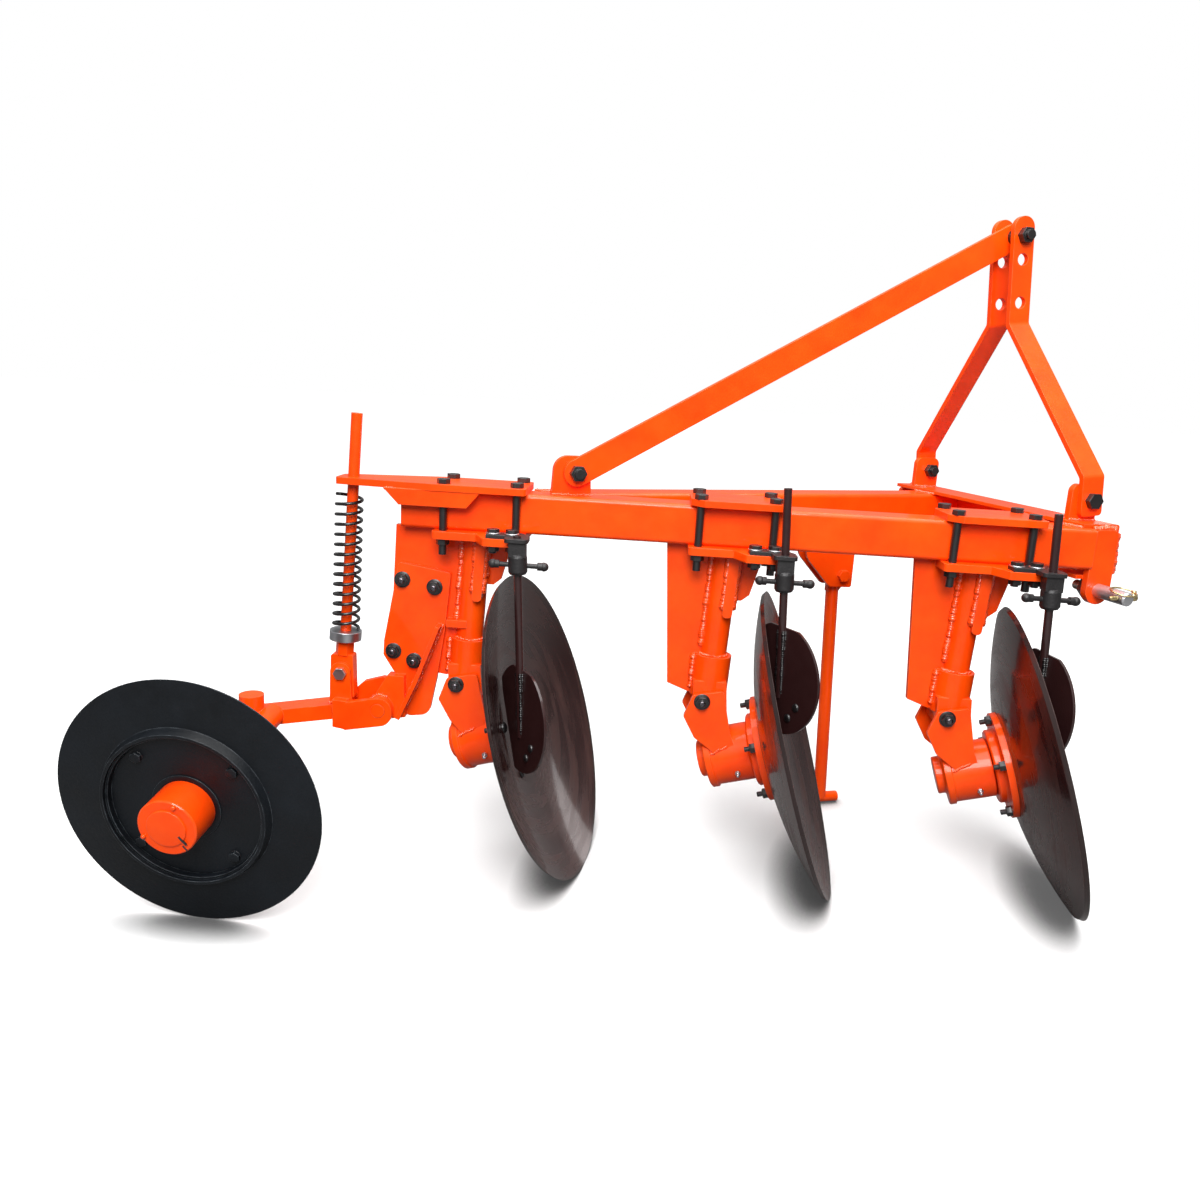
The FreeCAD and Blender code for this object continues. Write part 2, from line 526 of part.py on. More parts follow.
def unit(number, x0, hub_x, rod_drop, blade_yaw, gusset):
    """Leg, tilting hub, disc and scraper of one unit, in the beam frame."""
    def at(x, y, z):
        return V(x0 + x, y, BEAM_FLOOR + z)

    def plate(points, y0, y1):
        out = plate_xz(points, y0, y1)
        out.translate(at(0, 0, 0))
        return out

    def flat(points, z0, z1):
        out = plate_xy(points, z0, z1)
        out.translate(at(0, 0, 0))
        return out

    n = str(number)
    # lower clamp plate with the scraper's shelf, pipe, sleeve and webs
    foot = flat([(-CLAMP_X, -CLAMP_Y, 8.0), (SHELF[0] - 22, -CLAMP_Y), (SHELF[0], SHELF[2], 6.0),
                 (SHELF[1], SHELF[2], 5.0), (SHELF[1], -CLAMP_Y), (CLAMP_X, -CLAMP_Y, 5.0),
                 (CLAMP_X, CLAMP_Y, 8.0), (-CLAMP_X, CLAMP_Y, 8.0)], -FOOT_T, 0)
    line = at(PIPE_LOW[0], 0, PIPE_LOW[1]) - at(PIPE_TOP[0], 0, PIPE_TOP[1])

    def on_pipe(z):
        return at(PIPE_TOP[0], 0, PIPE_TOP[1]) + line * ((z - PIPE_TOP[1]) / (PIPE_LOW[1] - PIPE_TOP[1]))
    parts = [foot, bar(on_pipe(-FOOT_T / 2), on_pipe(SLEEVE_Z[0] - 10), PIPE_R),
             bar(on_pipe(SLEEVE_Z[0]), on_pipe(SLEEVE_Z[1]), SLEEVE_R)]
    parts += [plate(web, -WEB_T / 2, WEB_T / 2) for web in (gusset, FRONT_WEB)]
    parts.append(plate(NEAR_WEB, -PIPE_R - 13, -8))
    # tongue under the sleeve, held between the hub's cheeks
    parts.append(plate(TONGUE, -CHEEK_IN + 3, CHEEK_IN - 3))
    tilt_hole = drill(x0 + TILT_BOLT[0], BEAM_FLOOR + TILT_BOLT[1], TILT_BOLT_R + BOLT_FIT)
    cheek_face = CHEEK_IN + CHEEK_T
    lock_seat = at(LOCK_BOLT[0], cheek_face, LOCK_BOLT[1])
    lock_hole = bar(lock_seat, lock_seat - V(0, LOCK_DEPTH, 0), TILT_BOLT_R + BOLT_FIT)
    clamp_seats = [at(sx * CLAMP_BOLT_X, sy * CLAMP_BOLT_Y, BEAM + CLAMP_T)
                   for sx in (-1, 1) for sy in (-1, 1)]
    clamp_grip = CLAMP_T + BEAM + FOOT_T
    clamp_holes = [bar(p + V(0, 0, 1), p - V(0, 0, clamp_grip + 1), CLAMP_BOLT_R + BOLT_FIT)
                   for p in clamp_seats]
    pad_seats = [at(x, PAD_BOLT_Y, PAD_T) for x in PAD_BOLTS]
    pad_grip = PAD_T + FOOT_T
    pad_holes = [bar(p + V(0, 0, 1), p - V(0, 0, pad_grip + 1), PAD_BOLT_R + BOLT_FIT) for p in pad_seats]
    nodes["leg_" + n] = joined(parts).cut([tilt_hole, lock_hole] + clamp_holes + pad_holes)

    # disc on its flange; distances run back along the axis from the rim's plane
    rim = V(x0 + hub_x, 0, 0) + RIM
    back = aim * -1
    shell = disc_shell()
    shell.Placement = along(rim, back)
    nodes["disc_" + n] = shell
    spindle_end = S_SEAM + SPINDLE_L
    nodes["disc_hub_" + n] = turned(
        [(0, S_FLANGE), (FLANGE_R, S_FLANGE), (FLANGE_R, S_BOSS), (BOSS_R + 3, S_BOSS),
         (BOSS_R, S_BOSS + 4), (BOSS_R, S_SEAM - 3), (BOSS_R - 3, S_SEAM), (SPINDLE_R, S_SEAM),
         (SPINDLE_R, spindle_end), (0, spindle_end)], rim, back)

    # hub housing with its cap, hung on two cheeks
    housing = turned(
        [(0, S_HOUSE), (HOUSING_R - 2, S_HOUSE), (HOUSING_R, S_HOUSE + 2), (HOUSING_R, S_COLLAR),
         (COLLAR_R, S_COLLAR + 2), (COLLAR_R, S_CAP - 2), (COLLAR_R - 2, S_CAP), (CAP_R + 6, S_CAP),
         (CAP_R, S_CAP + 4), (CAP_R, S_END - 2), (CAP_R - 2, S_END), (0, S_END)], rim, back)
    side = CHEEK_TOP + ((hub_x - 38, HUB_AT[1] + 8), (hub_x - 76, HUB_AT[1] - 4)) + CHEEK_BACK
    cheeks = [plate(side, s * CHEEK_IN, s * cheek_face) for s in (-1, 1)]
    bore = bar(rim + back * S_SEAM, rim + back * (spindle_end + 3), SPINDLE_R + RUN)
    nodes["hub_bracket_" + n] = joined([housing] + cheeks).cut([bore, tilt_hole, lock_hole])
    tilt = [bolt(at(TILT_BOLT[0], cheek_face, TILT_BOLT[1]), V(0, -1, 0), 2 * cheek_face, TILT_BOLT_R, 18),
            prism(6, 3.0 * TILT_BOLT_R, 1.25 * TILT_BOLT_R, lock_seat, V(0, 1, 0)).fuse(
                bar(lock_seat, lock_seat - V(0, LOCK_DEPTH, 0), TILT_BOLT_R))]

    # clamp bolts and the top plate
    clamp = [bolt(p, V(0, 0, -1), clamp_grip, CLAMP_BOLT_R, 34) for p in clamp_seats]
    if number == 1:
        top = rear_plate()
    else:
        top = flat([(-CLAMP_X, -CLAMP_Y + CLAMP_CUT), (-CLAMP_X + CLAMP_CUT, -CLAMP_Y),
                    (CLAMP_X, -CLAMP_Y, 5.0), (CLAMP_X, CLAMP_Y, 5.0), (-CLAMP_X + CLAMP_CUT, CLAMP_Y),
                    (-CLAMP_X, CLAMP_Y - CLAMP_CUT)], BEAM, BEAM + CLAMP_T)
    nodes["clamp_plate_" + n] = top.cut(clamp_holes)

    # scraper: black bracket with its sleeve and T handle, rod and round blade
    y = SCRAPER_TOP[1]
    r_top, r_low = at(*SCRAPER_TOP), at(*SCRAPER_LOW)
    slope = (r_low - r_top).normalize()

    def on_rod(z):
        return r_top + slope * ((BEAM_FLOOR + z - r_top.z) / slope.z)
    rod_x = on_rod(0).x - x0
    pad = flat([(PAD_BOLTS[0] - 12, SHELF[2] + 2), (rod_x - 26, SHELF[2] + 2), (rod_x - 24, y - 20, 8.0),
                (rod_x + 22, y - 20, 8.0), (rod_x + 22, y + 20), (SHELF[1] + 8, PAD_BOLT_Y + 18, 6.0),
                (PAD_BOLTS[0] - 12, PAD_BOLT_Y + 18, 4.0)], 0, PAD_T)
    neck = plate([(rod_x - 16, 1), (rod_x + 17, 1), (rod_x + 18, CORE_Z - 4), (rod_x - 15, CORE_Z - 4)],
                 y - 15, y + 15)
    core = turned([(0, 0), (17, 0), (19, 5), (19, 34), (16, 39), (0, 39)], on_rod(CORE_Z), slope)
    grip = [on_rod(HANDLE_Z) + HANDLE_DIR * x for x in HANDLE]
    handle = [bar(*grip, HANDLE_R)]
    handle += [bar(end, end + (on_rod(HANDLE_Z) - end) * KNOB_SHARE, KNOB_R) for end in grip]
    hole = bar(r_top - slope * 30, r_low, SCRAPER_ROD_R)
    nodes["scraper_bracket_" + n] = joined([pad, neck, core] + handle).cut([hole] + pad_holes)
    pads = [bolt(p, V(0, 0, -1), pad_grip, PAD_BOLT_R, 16) for p in pad_seats]

    start = r_top + slope * rod_drop
    mid = start + slope * BLADE_DOWN
    yaw = math.radians(blade_yaw)
    facing = V(math.sin(yaw), -math.cos(yaw), 0) * (BLADE_T / 2)
    blade = bar(mid - facing, mid + facing, BLADE_R)
    blade = blade.cut(box(mid.x - BLADE_R, mid.x + BLADE_R, mid.y - BLADE_R, mid.y + BLADE_R,
                          mid.z + 0.93 * BLADE_R, mid.z + BLADE_R))
    room = scraped_room()
    room.Placement = shell.Placement
    rod = bar(start, mid + slope * 40, SCRAPER_ROD_R)
    nodes["scraper_" + n] = joined([rod, blade.common(room)])
    return clamp, tilt, pads, rim


# the rear clamp plate runs back to carry the spring rod
rear_x = UNIT_X[0]
eye = V(EYE[0], REAR_Y, BEAM_FLOOR + EYE[1])
rod_top = V(ROD_TOP[0], REAR_Y, BEAM_FLOOR + ROD_TOP[1])
rod_dir = (eye - rod_top).normalize()


def down_rod(s):
    """Point on the rod, s below the rear plate's under face."""
    return rod_top + rod_dir * ((BEAM_TOP - rod_top.z) / rod_dir.z + s)


def rear_plate():
    end = rod_top.x - REAR_PLATE_X
    side, front = rear_x - CLAMP_X, rear_x + CLAMP_X
    top = plate_xy([(end, REAR_Y - REAR_PLATE_HALF, 10.0), (side, -CLAMP_Y), (front, -CLAMP_Y, 8.0),
                    (front, CLAMP_Y, 8.0), (side, CLAMP_Y), (end, REAR_Y + REAR_PLATE_HALF, 10.0)],
                   BEAM_TOP, BEAM_TOP + CLAMP_T)
    stiff = plate_xz(STIFF, -CLAMP_Y + 2, -CLAMP_Y + 10)
    stiff.translate(V(0, 0, BEAM_TOP))
    return joined([top, stiff]).cut(bar(rod_top, eye, ROD_R + 1.5))


clamp_bolts, tilt_bolts, shelf_bolts, rims = [], [], [], []
for i, (x0, hub_x, drop, yaw) in enumerate(zip(UNIT_X, HUB_X, ROD_DROP, BLADE_YAW)):
    clamp, tilt, pads, rim = unit(i + 1, x0, hub_x, drop, yaw, GUSSET if i else REAR_GUSSET)
    clamp_bolts += clamp
    tilt_bolts += tilt
    shelf_bolts += pads
    rims.append(rim)
nodes["clamp_bolts"] = Part.makeCompound(clamp_bolts)
nodes["tilt_bolts"] = Part.makeCompound(tilt_bolts)
nodes["shelf_bolts"] = Part.makeCompound(shelf_bolts)

# ---------------------------------------------------------------- rear wheel, beam frame
def hung(points, y0, y1):
    out = plate_xz(points, y0, y1)
    out.translate(V(0, 0, BEAM_FLOOR))
    return out


seat_s = (eye - down_rod(0)).Length - SEAT_UP
block = plate_xz([(eye.x - 26, eye.z - 56), (eye.x + 26, eye.z - 56), (eye.x + 24, eye.z + 38, 6.0),
                  (eye.x - 24, eye.z + 38, 6.0)], REAR_Y - ROD_BLOCK_HALF, REAR_Y + ROD_BLOCK_HALF)
nut = prism(6, ROD_NUT, ROD_NUT, down_rod(seat_s + SEAT_T), rod_dir)
eye_hole = drill(eye.x, eye.z, EYE_BOLT_R + BOLT_FIT)
nodes["spring_rod"] = joined([bar(rod_top, eye, ROD_R), nut, block]).cut(eye_hole)
seat_bore = ROD_R + BOLT_FIT
nodes["spring_seat"] = turned([(seat_bore, 0), (SEAT_R, 0), (SEAT_R, SEAT_T), (seat_bore, SEAT_T)],
                              down_rod(seat_s), rod_dir)

coil_top = down_rod(SPRING_GAP + SPRING_WIRE) - V(SPRING_LEAN, 0, 0)
coil_run = down_rod(seat_s - SPRING_WIRE) - coil_top
coil_len = coil_run.Length
mean_r = SPRING_R - SPRING_WIRE
helix = Part.makeHelix(coil_len / SPRING_COILS, coil_len, mean_r)
section = Part.Wire(Part.Circle(V(mean_r, 0, 0), V(0, 1, 0), SPRING_WIRE).toShape())
coil = Part.Wire(helix).makePipeShell([section], True, True)
coil.Placement = along(coil_top, coil_run)
nodes["coil_spring"] = coil

# bracket bolted on the rear leg's gusset, with the arm's pivot boss
face_y = -WEB_T / 2
joint = V(ARM_JOINT[0], REAR_Y, BEAM_FLOOR + ARM_JOINT[1])
boss_half = YOKE_HALF - YOKE_T - 1
boss = bar(joint - V(0, boss_half, 0), joint + V(0, boss_half, 0), JOINT_BOSS_R)
bracket_holes = [drill(x, BEAM_FLOOR + z, BRACKET_BOLT_R + BOLT_FIT) for x, z in BRACKET_BOLTS]
joint_hole = drill(joint.x, joint.z, JOINT_PIN_R + BOLT_FIT)
nodes["wheel_bracket"] = joined([hung(WHEEL_PLATE, face_y - BRACKET_T, face_y), boss,
                                 hung(BRACKET_NECK, face_y - 30, face_y),
                                 hung(aside(BRACKET_RIB, 9.0), face_y - BRACKET_T - 34, face_y - 2)]).cut(
    bracket_holes + [joint_hole])
rib = box(*REAR_RIB[0], *REAR_RIB[1], *REAR_RIB[2])
rib.translate(V(rear_x, 0, BEAM_FLOOR))
nodes["leg_1"] = joined([nodes["leg_1"], rib]).cut(bracket_holes)
nodes["wheel_bracket_bolts"] = Part.makeCompound(
    [bolt(V(x, -face_y, BEAM_FLOOR + z), V(0, -1, 0), BRACKET_T + WEB_T, BRACKET_BOLT_R, BRACKET_BOLT_TAIL)
     for x, z in BRACKET_BOLTS])

# arm: fork round the boss, ears for the rod's eye, flat tube, post and axle sleeve
yaw, dip = math.radians(WHEEL_YAW), math.radians(WHEEL_DIP)
wheel_aim = V(math.cos(yaw) * math.cos(dip), math.sin(yaw) * math.cos(dip), math.sin(dip))
wheel_mid = V(WHEEL_AT[0], WHEEL_AT[1], FLOOR + WHEEL_R * math.cos(dip))


def on_axle(t):
    return wheel_mid + wheel_aim * t


y_near, y_far = REAR_Y - YOKE_HALF, REAR_Y + YOKE_HALF
fork = [hung(NEAR_FORK, y_near, y_near + YOKE_T), hung(FAR_FORK, y_far - YOKE_T, y_far),
        hung(YOKE_BASE, y_near, y_far)]
(x0, z0), (x1, z1) = ARM_TOP
tube = hung([(x0 + 5, z0), (x0 + 5, z0 - ARM_H), (x1, z1 - ARM_H), (x1, z1)],
            REAR_Y - ARM_HALF_W, REAR_Y + ARM_HALF_W)
post = bar(V(*POST, BEAM_FLOOR + POST_Z[0]), V(*POST, BEAM_FLOOR + POST_Z[1]), POST_R)
sleeve = bar(on_axle(-AXLE_LONG - HOLDER_END), on_axle(HOLDER_L - AXLE_LONG), HOLDER_R)
ear_in = ROD_BLOCK_HALF + 0.5
ear = [(eye.x - 24, eye.z - 66), (eye.x + 24, eye.z - 66), (eye.x + 20, eye.z + 22, 20.0),
       (eye.x - 22, eye.z + 22, 20.0)]
ears = [plate_xz(ear, REAR_Y + s * ear_in, REAR_Y + s * (ear_in + EAR_T)) for s in (-1, 1)]
eye_room = box(eye.x - 27, eye.x + 27, REAR_Y - ear_in, REAR_Y + ear_in, eye.z - 58, eye.z + 80)
nodes["wheel_arm"] = joined(fork + [tube, post, sleeve] + ears).cut(
    [eye_room, eye_hole, joint_hole, bar(on_axle(-AXLE_LONG), on_axle(0), AXLE_R)])
nodes["wheel_axle"] = bar(on_axle(-AXLE_LONG), on_axle(AXLE_TIP), AXLE_R)
ear_out = ear_in + EAR_T
nodes["arm_pins"] = bolt(V(eye.x, REAR_Y - ear_out, eye.z), V(0, 1, 0), 2 * ear_out, EYE_BOLT_R, 16)
nodes["pivot_pin"] = bar(joint - V(0, YOKE_HALF + 1, 0), joint + V(0, YOKE_HALF + 1, 0), JOINT_PIN_R)

# wheel: pressed disc with a raised ring, and its hub
out = [(WHEEL_R, 0), (RING_BASE_R, DISH + 2), (RING_R + 2, RING_T), (RING_R - 4, RING_T),
       (RING_R - 6, DISH), (WHEEL_HUB_R, DISH)]
inn = [(WHEEL_HUB_R, DISH - WHEEL_T), (RING_R - 11, DISH - WHEEL_T), (RING_R - 9, RING_T - 7),
       (RING_R - 4, RING_T - 7), (RING_BASE_R - 6, DISH - 5), (WHEEL_R - 2, -4.0)]
nodes["furrow_wheel"] = turned(out + inn, wheel_mid, wheel_aim)
hub_back, hub_end = WHEEL_HUB
nodes["wheel_hub"] = turned([(AXLE_R + RUN, hub_back), (WHEEL_HUB_R, hub_back), (WHEEL_HUB_R, hub_end - 2),
                             (WHEEL_HUB_R - 2, hub_end), (0, hub_end), (0, AXLE_TIP + 3),
                             (AXLE_R + RUN, AXLE_TIP + 3)], wheel_mid, wheel_aim)

for name in list(nodes):
    if name not in frame_nodes:
        nodes[name] = to_travel(nodes[name])

# ---------------------------------------------------------------- parking stand, travel frame
pivot = V(STAND[0], STAND[1], BEAM_FLOOR + STAND[2])
inner = STAND_R + STAND_GAP
cheek_rear, cheek_front = [pivot.x + x for x in STAND_CHEEK_X]
cheek = [(cheek_rear, BEAM_FLOOR), (cheek_front, BEAM_FLOOR), (cheek_front, pivot.z - 30, 6.0),
         (pivot.x - 34, pivot.z - 28, 14.0), (cheek_rear, pivot.z + 46, 40.0)]
bracket = [plate_xz(cheek, pivot.y + s * inner, pivot.y + s * (inner + STAND_CHEEK_T)) for s in (-1, 1)]
bracket.append(box(cheek_rear, cheek_front, pivot.y - inner - 1, pivot.y + inner + 1,
                   BEAM_FLOOR - STAND_CHEEK_T, BEAM_FLOOR))
pin = bolt(V(pivot.x, pivot.y - inner - STAND_CHEEK_T, pivot.z), V(0, 1, 0), 2 * (inner + STAND_CHEEK_T),
           STAND_PIN_R, 16)
reach = V(0, DRILL_HALF, 0)
hole = bar(pivot - reach, pivot + reach, STAND_PIN_R)
nodes["stand_bracket"] = joined([joined(bracket).cut(hole), pin])
toe = V(STAND_TOE_X, pivot.y, FLOOR + STAND_FOOT_R)
ear = plate_xz([(pivot.x - STAND_BACK - 14, pivot.z - 44), (pivot.x - STAND_BACK + 13, pivot.z - 44),
                (pivot.x + 18, pivot.z - 18, 16.0), (pivot.x + 18, pivot.z + 18, 17.0),
                (pivot.x - STAND_BACK - 15, pivot.z + 18, 14.0)], pivot.y - 9, pivot.y + 9)
leg = joined([bar(toe, pivot - V(STAND_BACK, 0, 14), STAND_R), ear,
              bar(toe - V(STAND_FOOT_L / 2, 0, 0), toe + V(STAND_FOOT_L / 2, 0, 0), STAND_FOOT_R)])
nodes["stand_leg"] = leg.cut(bar(pivot - reach, pivot + reach, STAND_PIN_R + RUN))

# ---------------------------------------------------------------- shift and write
whole = Part.makeCompound(list(nodes.values())).optimalBoundingBox(False)
SHIFT = V(-(whole.XMin + whole.XMax) / 2, -(whole.YMin + whole.YMax) / 2, -whole.ZMin)
os.makedirs("parts", exist_ok=True)
for name, shape in nodes.items():
    out = shape.copy()
    out.translate(SHIFT)
    out.exportStep("parts/" + name + ".step")
    nodes[name] = out
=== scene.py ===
import bpy
import json
import math
from bpy.props import FloatProperty, FloatVectorProperty, IntProperty, PointerProperty
from bpy.types import Operator, Panel, PropertyGroup
from mathutils import Matrix, Vector


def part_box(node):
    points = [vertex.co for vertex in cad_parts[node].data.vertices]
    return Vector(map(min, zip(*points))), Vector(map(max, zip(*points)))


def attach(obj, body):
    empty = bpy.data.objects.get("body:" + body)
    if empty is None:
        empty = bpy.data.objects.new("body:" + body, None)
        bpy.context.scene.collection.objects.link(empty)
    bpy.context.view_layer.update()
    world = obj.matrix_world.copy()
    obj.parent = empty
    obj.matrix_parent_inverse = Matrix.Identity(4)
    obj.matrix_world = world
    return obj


bl_info = {
    "name": "Disc plough finish",
    "version": (1, 0, 0),
    "blender": (4, 5, 0),
    "location": "3D View > Sidebar > Plough",
    "description": "Dresses the disc plough's frame with paint, welds, fasteners and a plain stage",
    "category": "Object",
}

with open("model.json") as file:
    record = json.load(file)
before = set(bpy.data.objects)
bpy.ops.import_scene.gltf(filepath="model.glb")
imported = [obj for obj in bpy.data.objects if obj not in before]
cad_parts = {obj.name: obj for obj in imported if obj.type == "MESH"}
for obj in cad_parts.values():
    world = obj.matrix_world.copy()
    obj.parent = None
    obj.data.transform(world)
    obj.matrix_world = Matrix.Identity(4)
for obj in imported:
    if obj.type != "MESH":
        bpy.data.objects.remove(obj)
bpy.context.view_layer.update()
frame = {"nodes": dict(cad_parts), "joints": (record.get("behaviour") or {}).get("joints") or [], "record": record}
NODES = frame["nodes"]
AXES = {j["name"]: (Vector(j["pos_m"]), Vector(j["axis"])) for j in frame["joints"]}

# The plough's own frames, in mm: the beam frame lies along the slanting main beam,
# the travel frame points the way the tractor pulls. The cross beam's box ties them down.
BEAM_SLANT = math.radians(18.5)
CROSS_BEAM_CORNER = Vector((734.0, 455.0, 893.0))
BEAM_FLOOR, BEAM_TOP = 729.0, 811.0
UNITS = (1, 2, 3)
UNIT_X = (-523.0, 0.0, 510.0)

# A leg and its hub, beam frame, in mm from its clamp's middle and the beam's under face
PIPE_TOP, PIPE_LOW = (-12.6, -29.0), (-27.5, -326.0)
PIPE_SEAMS = (                                   # from the pipe's middle, to each side, heights
    (-29.0, 9.5, range(-20, -240, -20)),         # gusset on the pipe
    (-40.4, 9.0, range(-240, -315, -18)),        # gusset on the sleeve
    (28.4, 9.0, (-20, -60, -100)))               # front web
NEAR_WEB_TOP, NEAR_WEB_HEIGHT = -13, 136
NEAR_WEB_EDGES = ((14, 8, -30), (-8, 6, -31))    # x at its top, how far back its foot is, y
TILT_BOLT, CHEEK_FACE, TILT_BOLT_OUT = (-41, -330), 51, 18
HUB_ASIDE, HUB_DRIFT = 5.8, 0.137                # housing's axis: right at its front, then left per mm back
HUB_SEAM_R = 61.4                                # just under the housing's skin

# The wheel's bracket, beam frame, in mm: its bolts, its outer face, and their ends out from it
BRACKET_BOLTS = ((-689, -116), (-620, -128), (-707, -274), (-662, -293))
BRACKET_FACE, BRACKET_BOLT_OUT = 19, 17

# A scraper, beam frame, in mm: its rod slides down through its clamp and turns in it
SCRAPER_TOP = Vector((83.0, -135.0, 137.0))
SCRAPER_LOW = Vector((105.0, -135.0, -264.0))
ROD_DROP_AND_YAW = ((125.0, -57.0), (0.0, -57.0), (18.0, -79.0))
BLADE_DOWN = 378                                 # from the rod's top to the blade's middle
BLADE_BOLTS, BLADE_FACE = ((36, -72), (56, -44)), 2.5
PAD_BOLTS, PAD_BOLT_Y, PAD_TOP = (36, 74), -96, 8
HANDLE_Z, HANDLE_ENDS = -46, (-50, 53)
HANDLE_LINE = (1, 0.15, -0.04)

# The hitch, travel frame, in mm: its pins' axis, and both faces of each drop plate
HITCH_X, HITCH_Z = 693, 686
PLATE_OUT, PLATE_IN = (-259, 455), (-244, 440)
LINCH_OUT = 66                                   # linch pin's hole past the drop plate

# Places on a disc's or the wheel's own axis, in m from its joint, radii about it, and degrees from its top
DISC_FLAT_FRONT, FLANGE_BACK, HOUSING_FRONT = 0.0617, 0.0811, 0.1006
HOUSING_R = 0.062
GROUND_EDGE = (0.3235, 0.3262)
WHEEL_FACE, WHEEL_HUB_END = 0.007, 0.077
WHEEL_NUTS = 0.0075                              # where the nuts start, hidden by the heads
WHEEL_BOLT_CIRCLE, WHEEL_BOLT_TURNS = 0.127, (41, 131, 221, 311)
COLLAR_R, CAP_R, PEG_CIRCLE, PEG_TURNS = 0.066, 0.037, 0.049, (-23, 114.5)
SLOT_PLACE, PIN_PLACE = (0.048, -141.8), (0.034, -124.7)

# The stage: soft boxes with their power's setting, place, aim and size in m, and the camera
SOFT_BOXES = (("soft_box_behind", "back", (3.3, 2.0, 0.75), (0, 0.1, 0.2), 0.8),
              ("soft_box_overhead", "key", (0.2, -0.1, 2.9), (0.2, 0, 0), 3.0),
              ("soft_box_beside_camera", "fill", (-1.1, -3.1, 3.1), (0.2, 0, 0.5), 2.2))
CAMERA_PLACE = (-811.9, -1854.8, 1061.5)         # travel frame, mm
CAMERA_RIGHT = Vector((0.9633, -0.26284, 0.05449))
CAMERA_UP = Vector((0.00852, 0.23281, 0.97249))
CAMERA_LENS = 29.32
FLOAT, VECTOR = "NodeSocketFloat", "NodeSocketVector"


def from_travel(x, y, z):
    """Place in the row frame, in metres, of a travel frame point in mm."""
    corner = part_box("cross_beam")[1]
    return corner + (Vector((x, y, z)) - CROSS_BEAM_CORNER) / 1000


def from_beam(x, y, z):
    """Place in the row frame, in metres, of a beam frame point in mm."""
    c, s = math.cos(BEAM_SLANT), math.sin(BEAM_SLANT)
    return from_travel(c * x + s * y, c * y - s * x, z)


def turned(direction):
    """Beam frame direction in the row frame."""
    return Matrix.Rotation(-BEAM_SLANT, 3, "Z") @ Vector(direction)


# ---------------------------------------------------------------- what a user may change
class PloughPaint(PropertyGroup):
    """Colours and gloss of the plough's finishes."""
    paint: FloatVectorProperty(name="Paint", description="Colour of the painted steel", subtype="COLOR",
                               size=3, min=0, max=1, default=(0.93, 0.079, 0.0010))
    paint_shade: FloatVectorProperty(name="Paint shade", description="Colour where the coat lies thicker",
                                     subtype="COLOR", size=3, min=0, max=1, default=(0.87, 0.046, 0.0007))
    # Edge tint: partly thin coat on worn edges, partly a painted highlight along the edges
    edge_wear_and_highlight: FloatVectorProperty(name="Edge tint", description="Colour where the coat is thin on edges",
                                   subtype="COLOR", size=3, min=0, max=1, default=(0.95, 0.17, 0.055))
    blacking: FloatVectorProperty(name="Blacking", description="Colour of bolts and black castings",
                                  subtype="COLOR", size=3, min=0, max=1, default=(0.007, 0.006, 0.0065))
    varnish: FloatVectorProperty(name="Disc varnish", description="Colour of the discs' dark varnish",
                                 subtype="COLOR", size=3, min=0, max=1, default=(0.019, 0.0060, 0.0060))
    zinc: FloatVectorProperty(name="Zinc", description="Colour of plated washers, seat and pins",
                              subtype="COLOR", size=3, min=0, max=1, default=(0.62, 0.63, 0.66))
    # The worn rim is also where the orange paint and the wheel carry a painted highlight
    edge_width: FloatProperty(name="Edge width", description="Width of the worn rim along an edge",
                              subtype="DISTANCE", min=0.0005, max=0.01, default=0.0022)


class PloughFittings(PropertyGroup):
    """Sizes of the small fasteners and fittings."""
    nut_across: FloatProperty(name="Nut width", description="Width across the flats of a hub nut",
                              subtype="DISTANCE", min=0.012, max=0.03, default=0.019)
    hub_bolts: IntProperty(name="Bolts per hub", description="Bolts that hold a disc on its flange",
                           min=4, max=8, default=5)
    hub_bolt_circle: FloatProperty(name="Hub bolt circle", description="Radius of the hub's bolt circle",
                                   subtype="DISTANCE", min=0.09, max=0.105, default=0.1)
    washer_radius: FloatProperty(name="Washer radius", description="Radius of the plated washers",
                                 subtype="DISTANCE", min=0.01, max=0.02, default=0.0148)
    nut_washer_radius: FloatProperty(name="Nut washer radius", description="Radius of the black washers",
                                     subtype="DISTANCE", min=0.014, max=0.022, default=0.0172)
    ball_radius: FloatProperty(name="Handle ball", description="Radius of the balls on the scraper handles",
                               subtype="DISTANCE", min=0.006, max=0.012, default=0.0092)
    ring_radius: FloatProperty(name="Linch ring", description="Radius of the linch pin's spring ring",
                               subtype="DISTANCE", min=0.016, max=0.03, default=0.024)


class PloughWelds(PropertyGroup):
    """Size of the weld beads."""
    width: FloatProperty(name="Bead width", description="Width of a weld bead", subtype="DISTANCE",
                         min=0.003, max=0.012, default=0.0075)
    leg_width: FloatProperty(name="Leg bead width", description="Width of the beads on the legs",
                             subtype="DISTANCE", min=0.003, max=0.02, default=0.0145)
    pitch: FloatProperty(name="Ripple pitch", description="Distance between the ripples of a bead",
                         subtype="DISTANCE", min=0.002, max=0.008, default=0.0038)


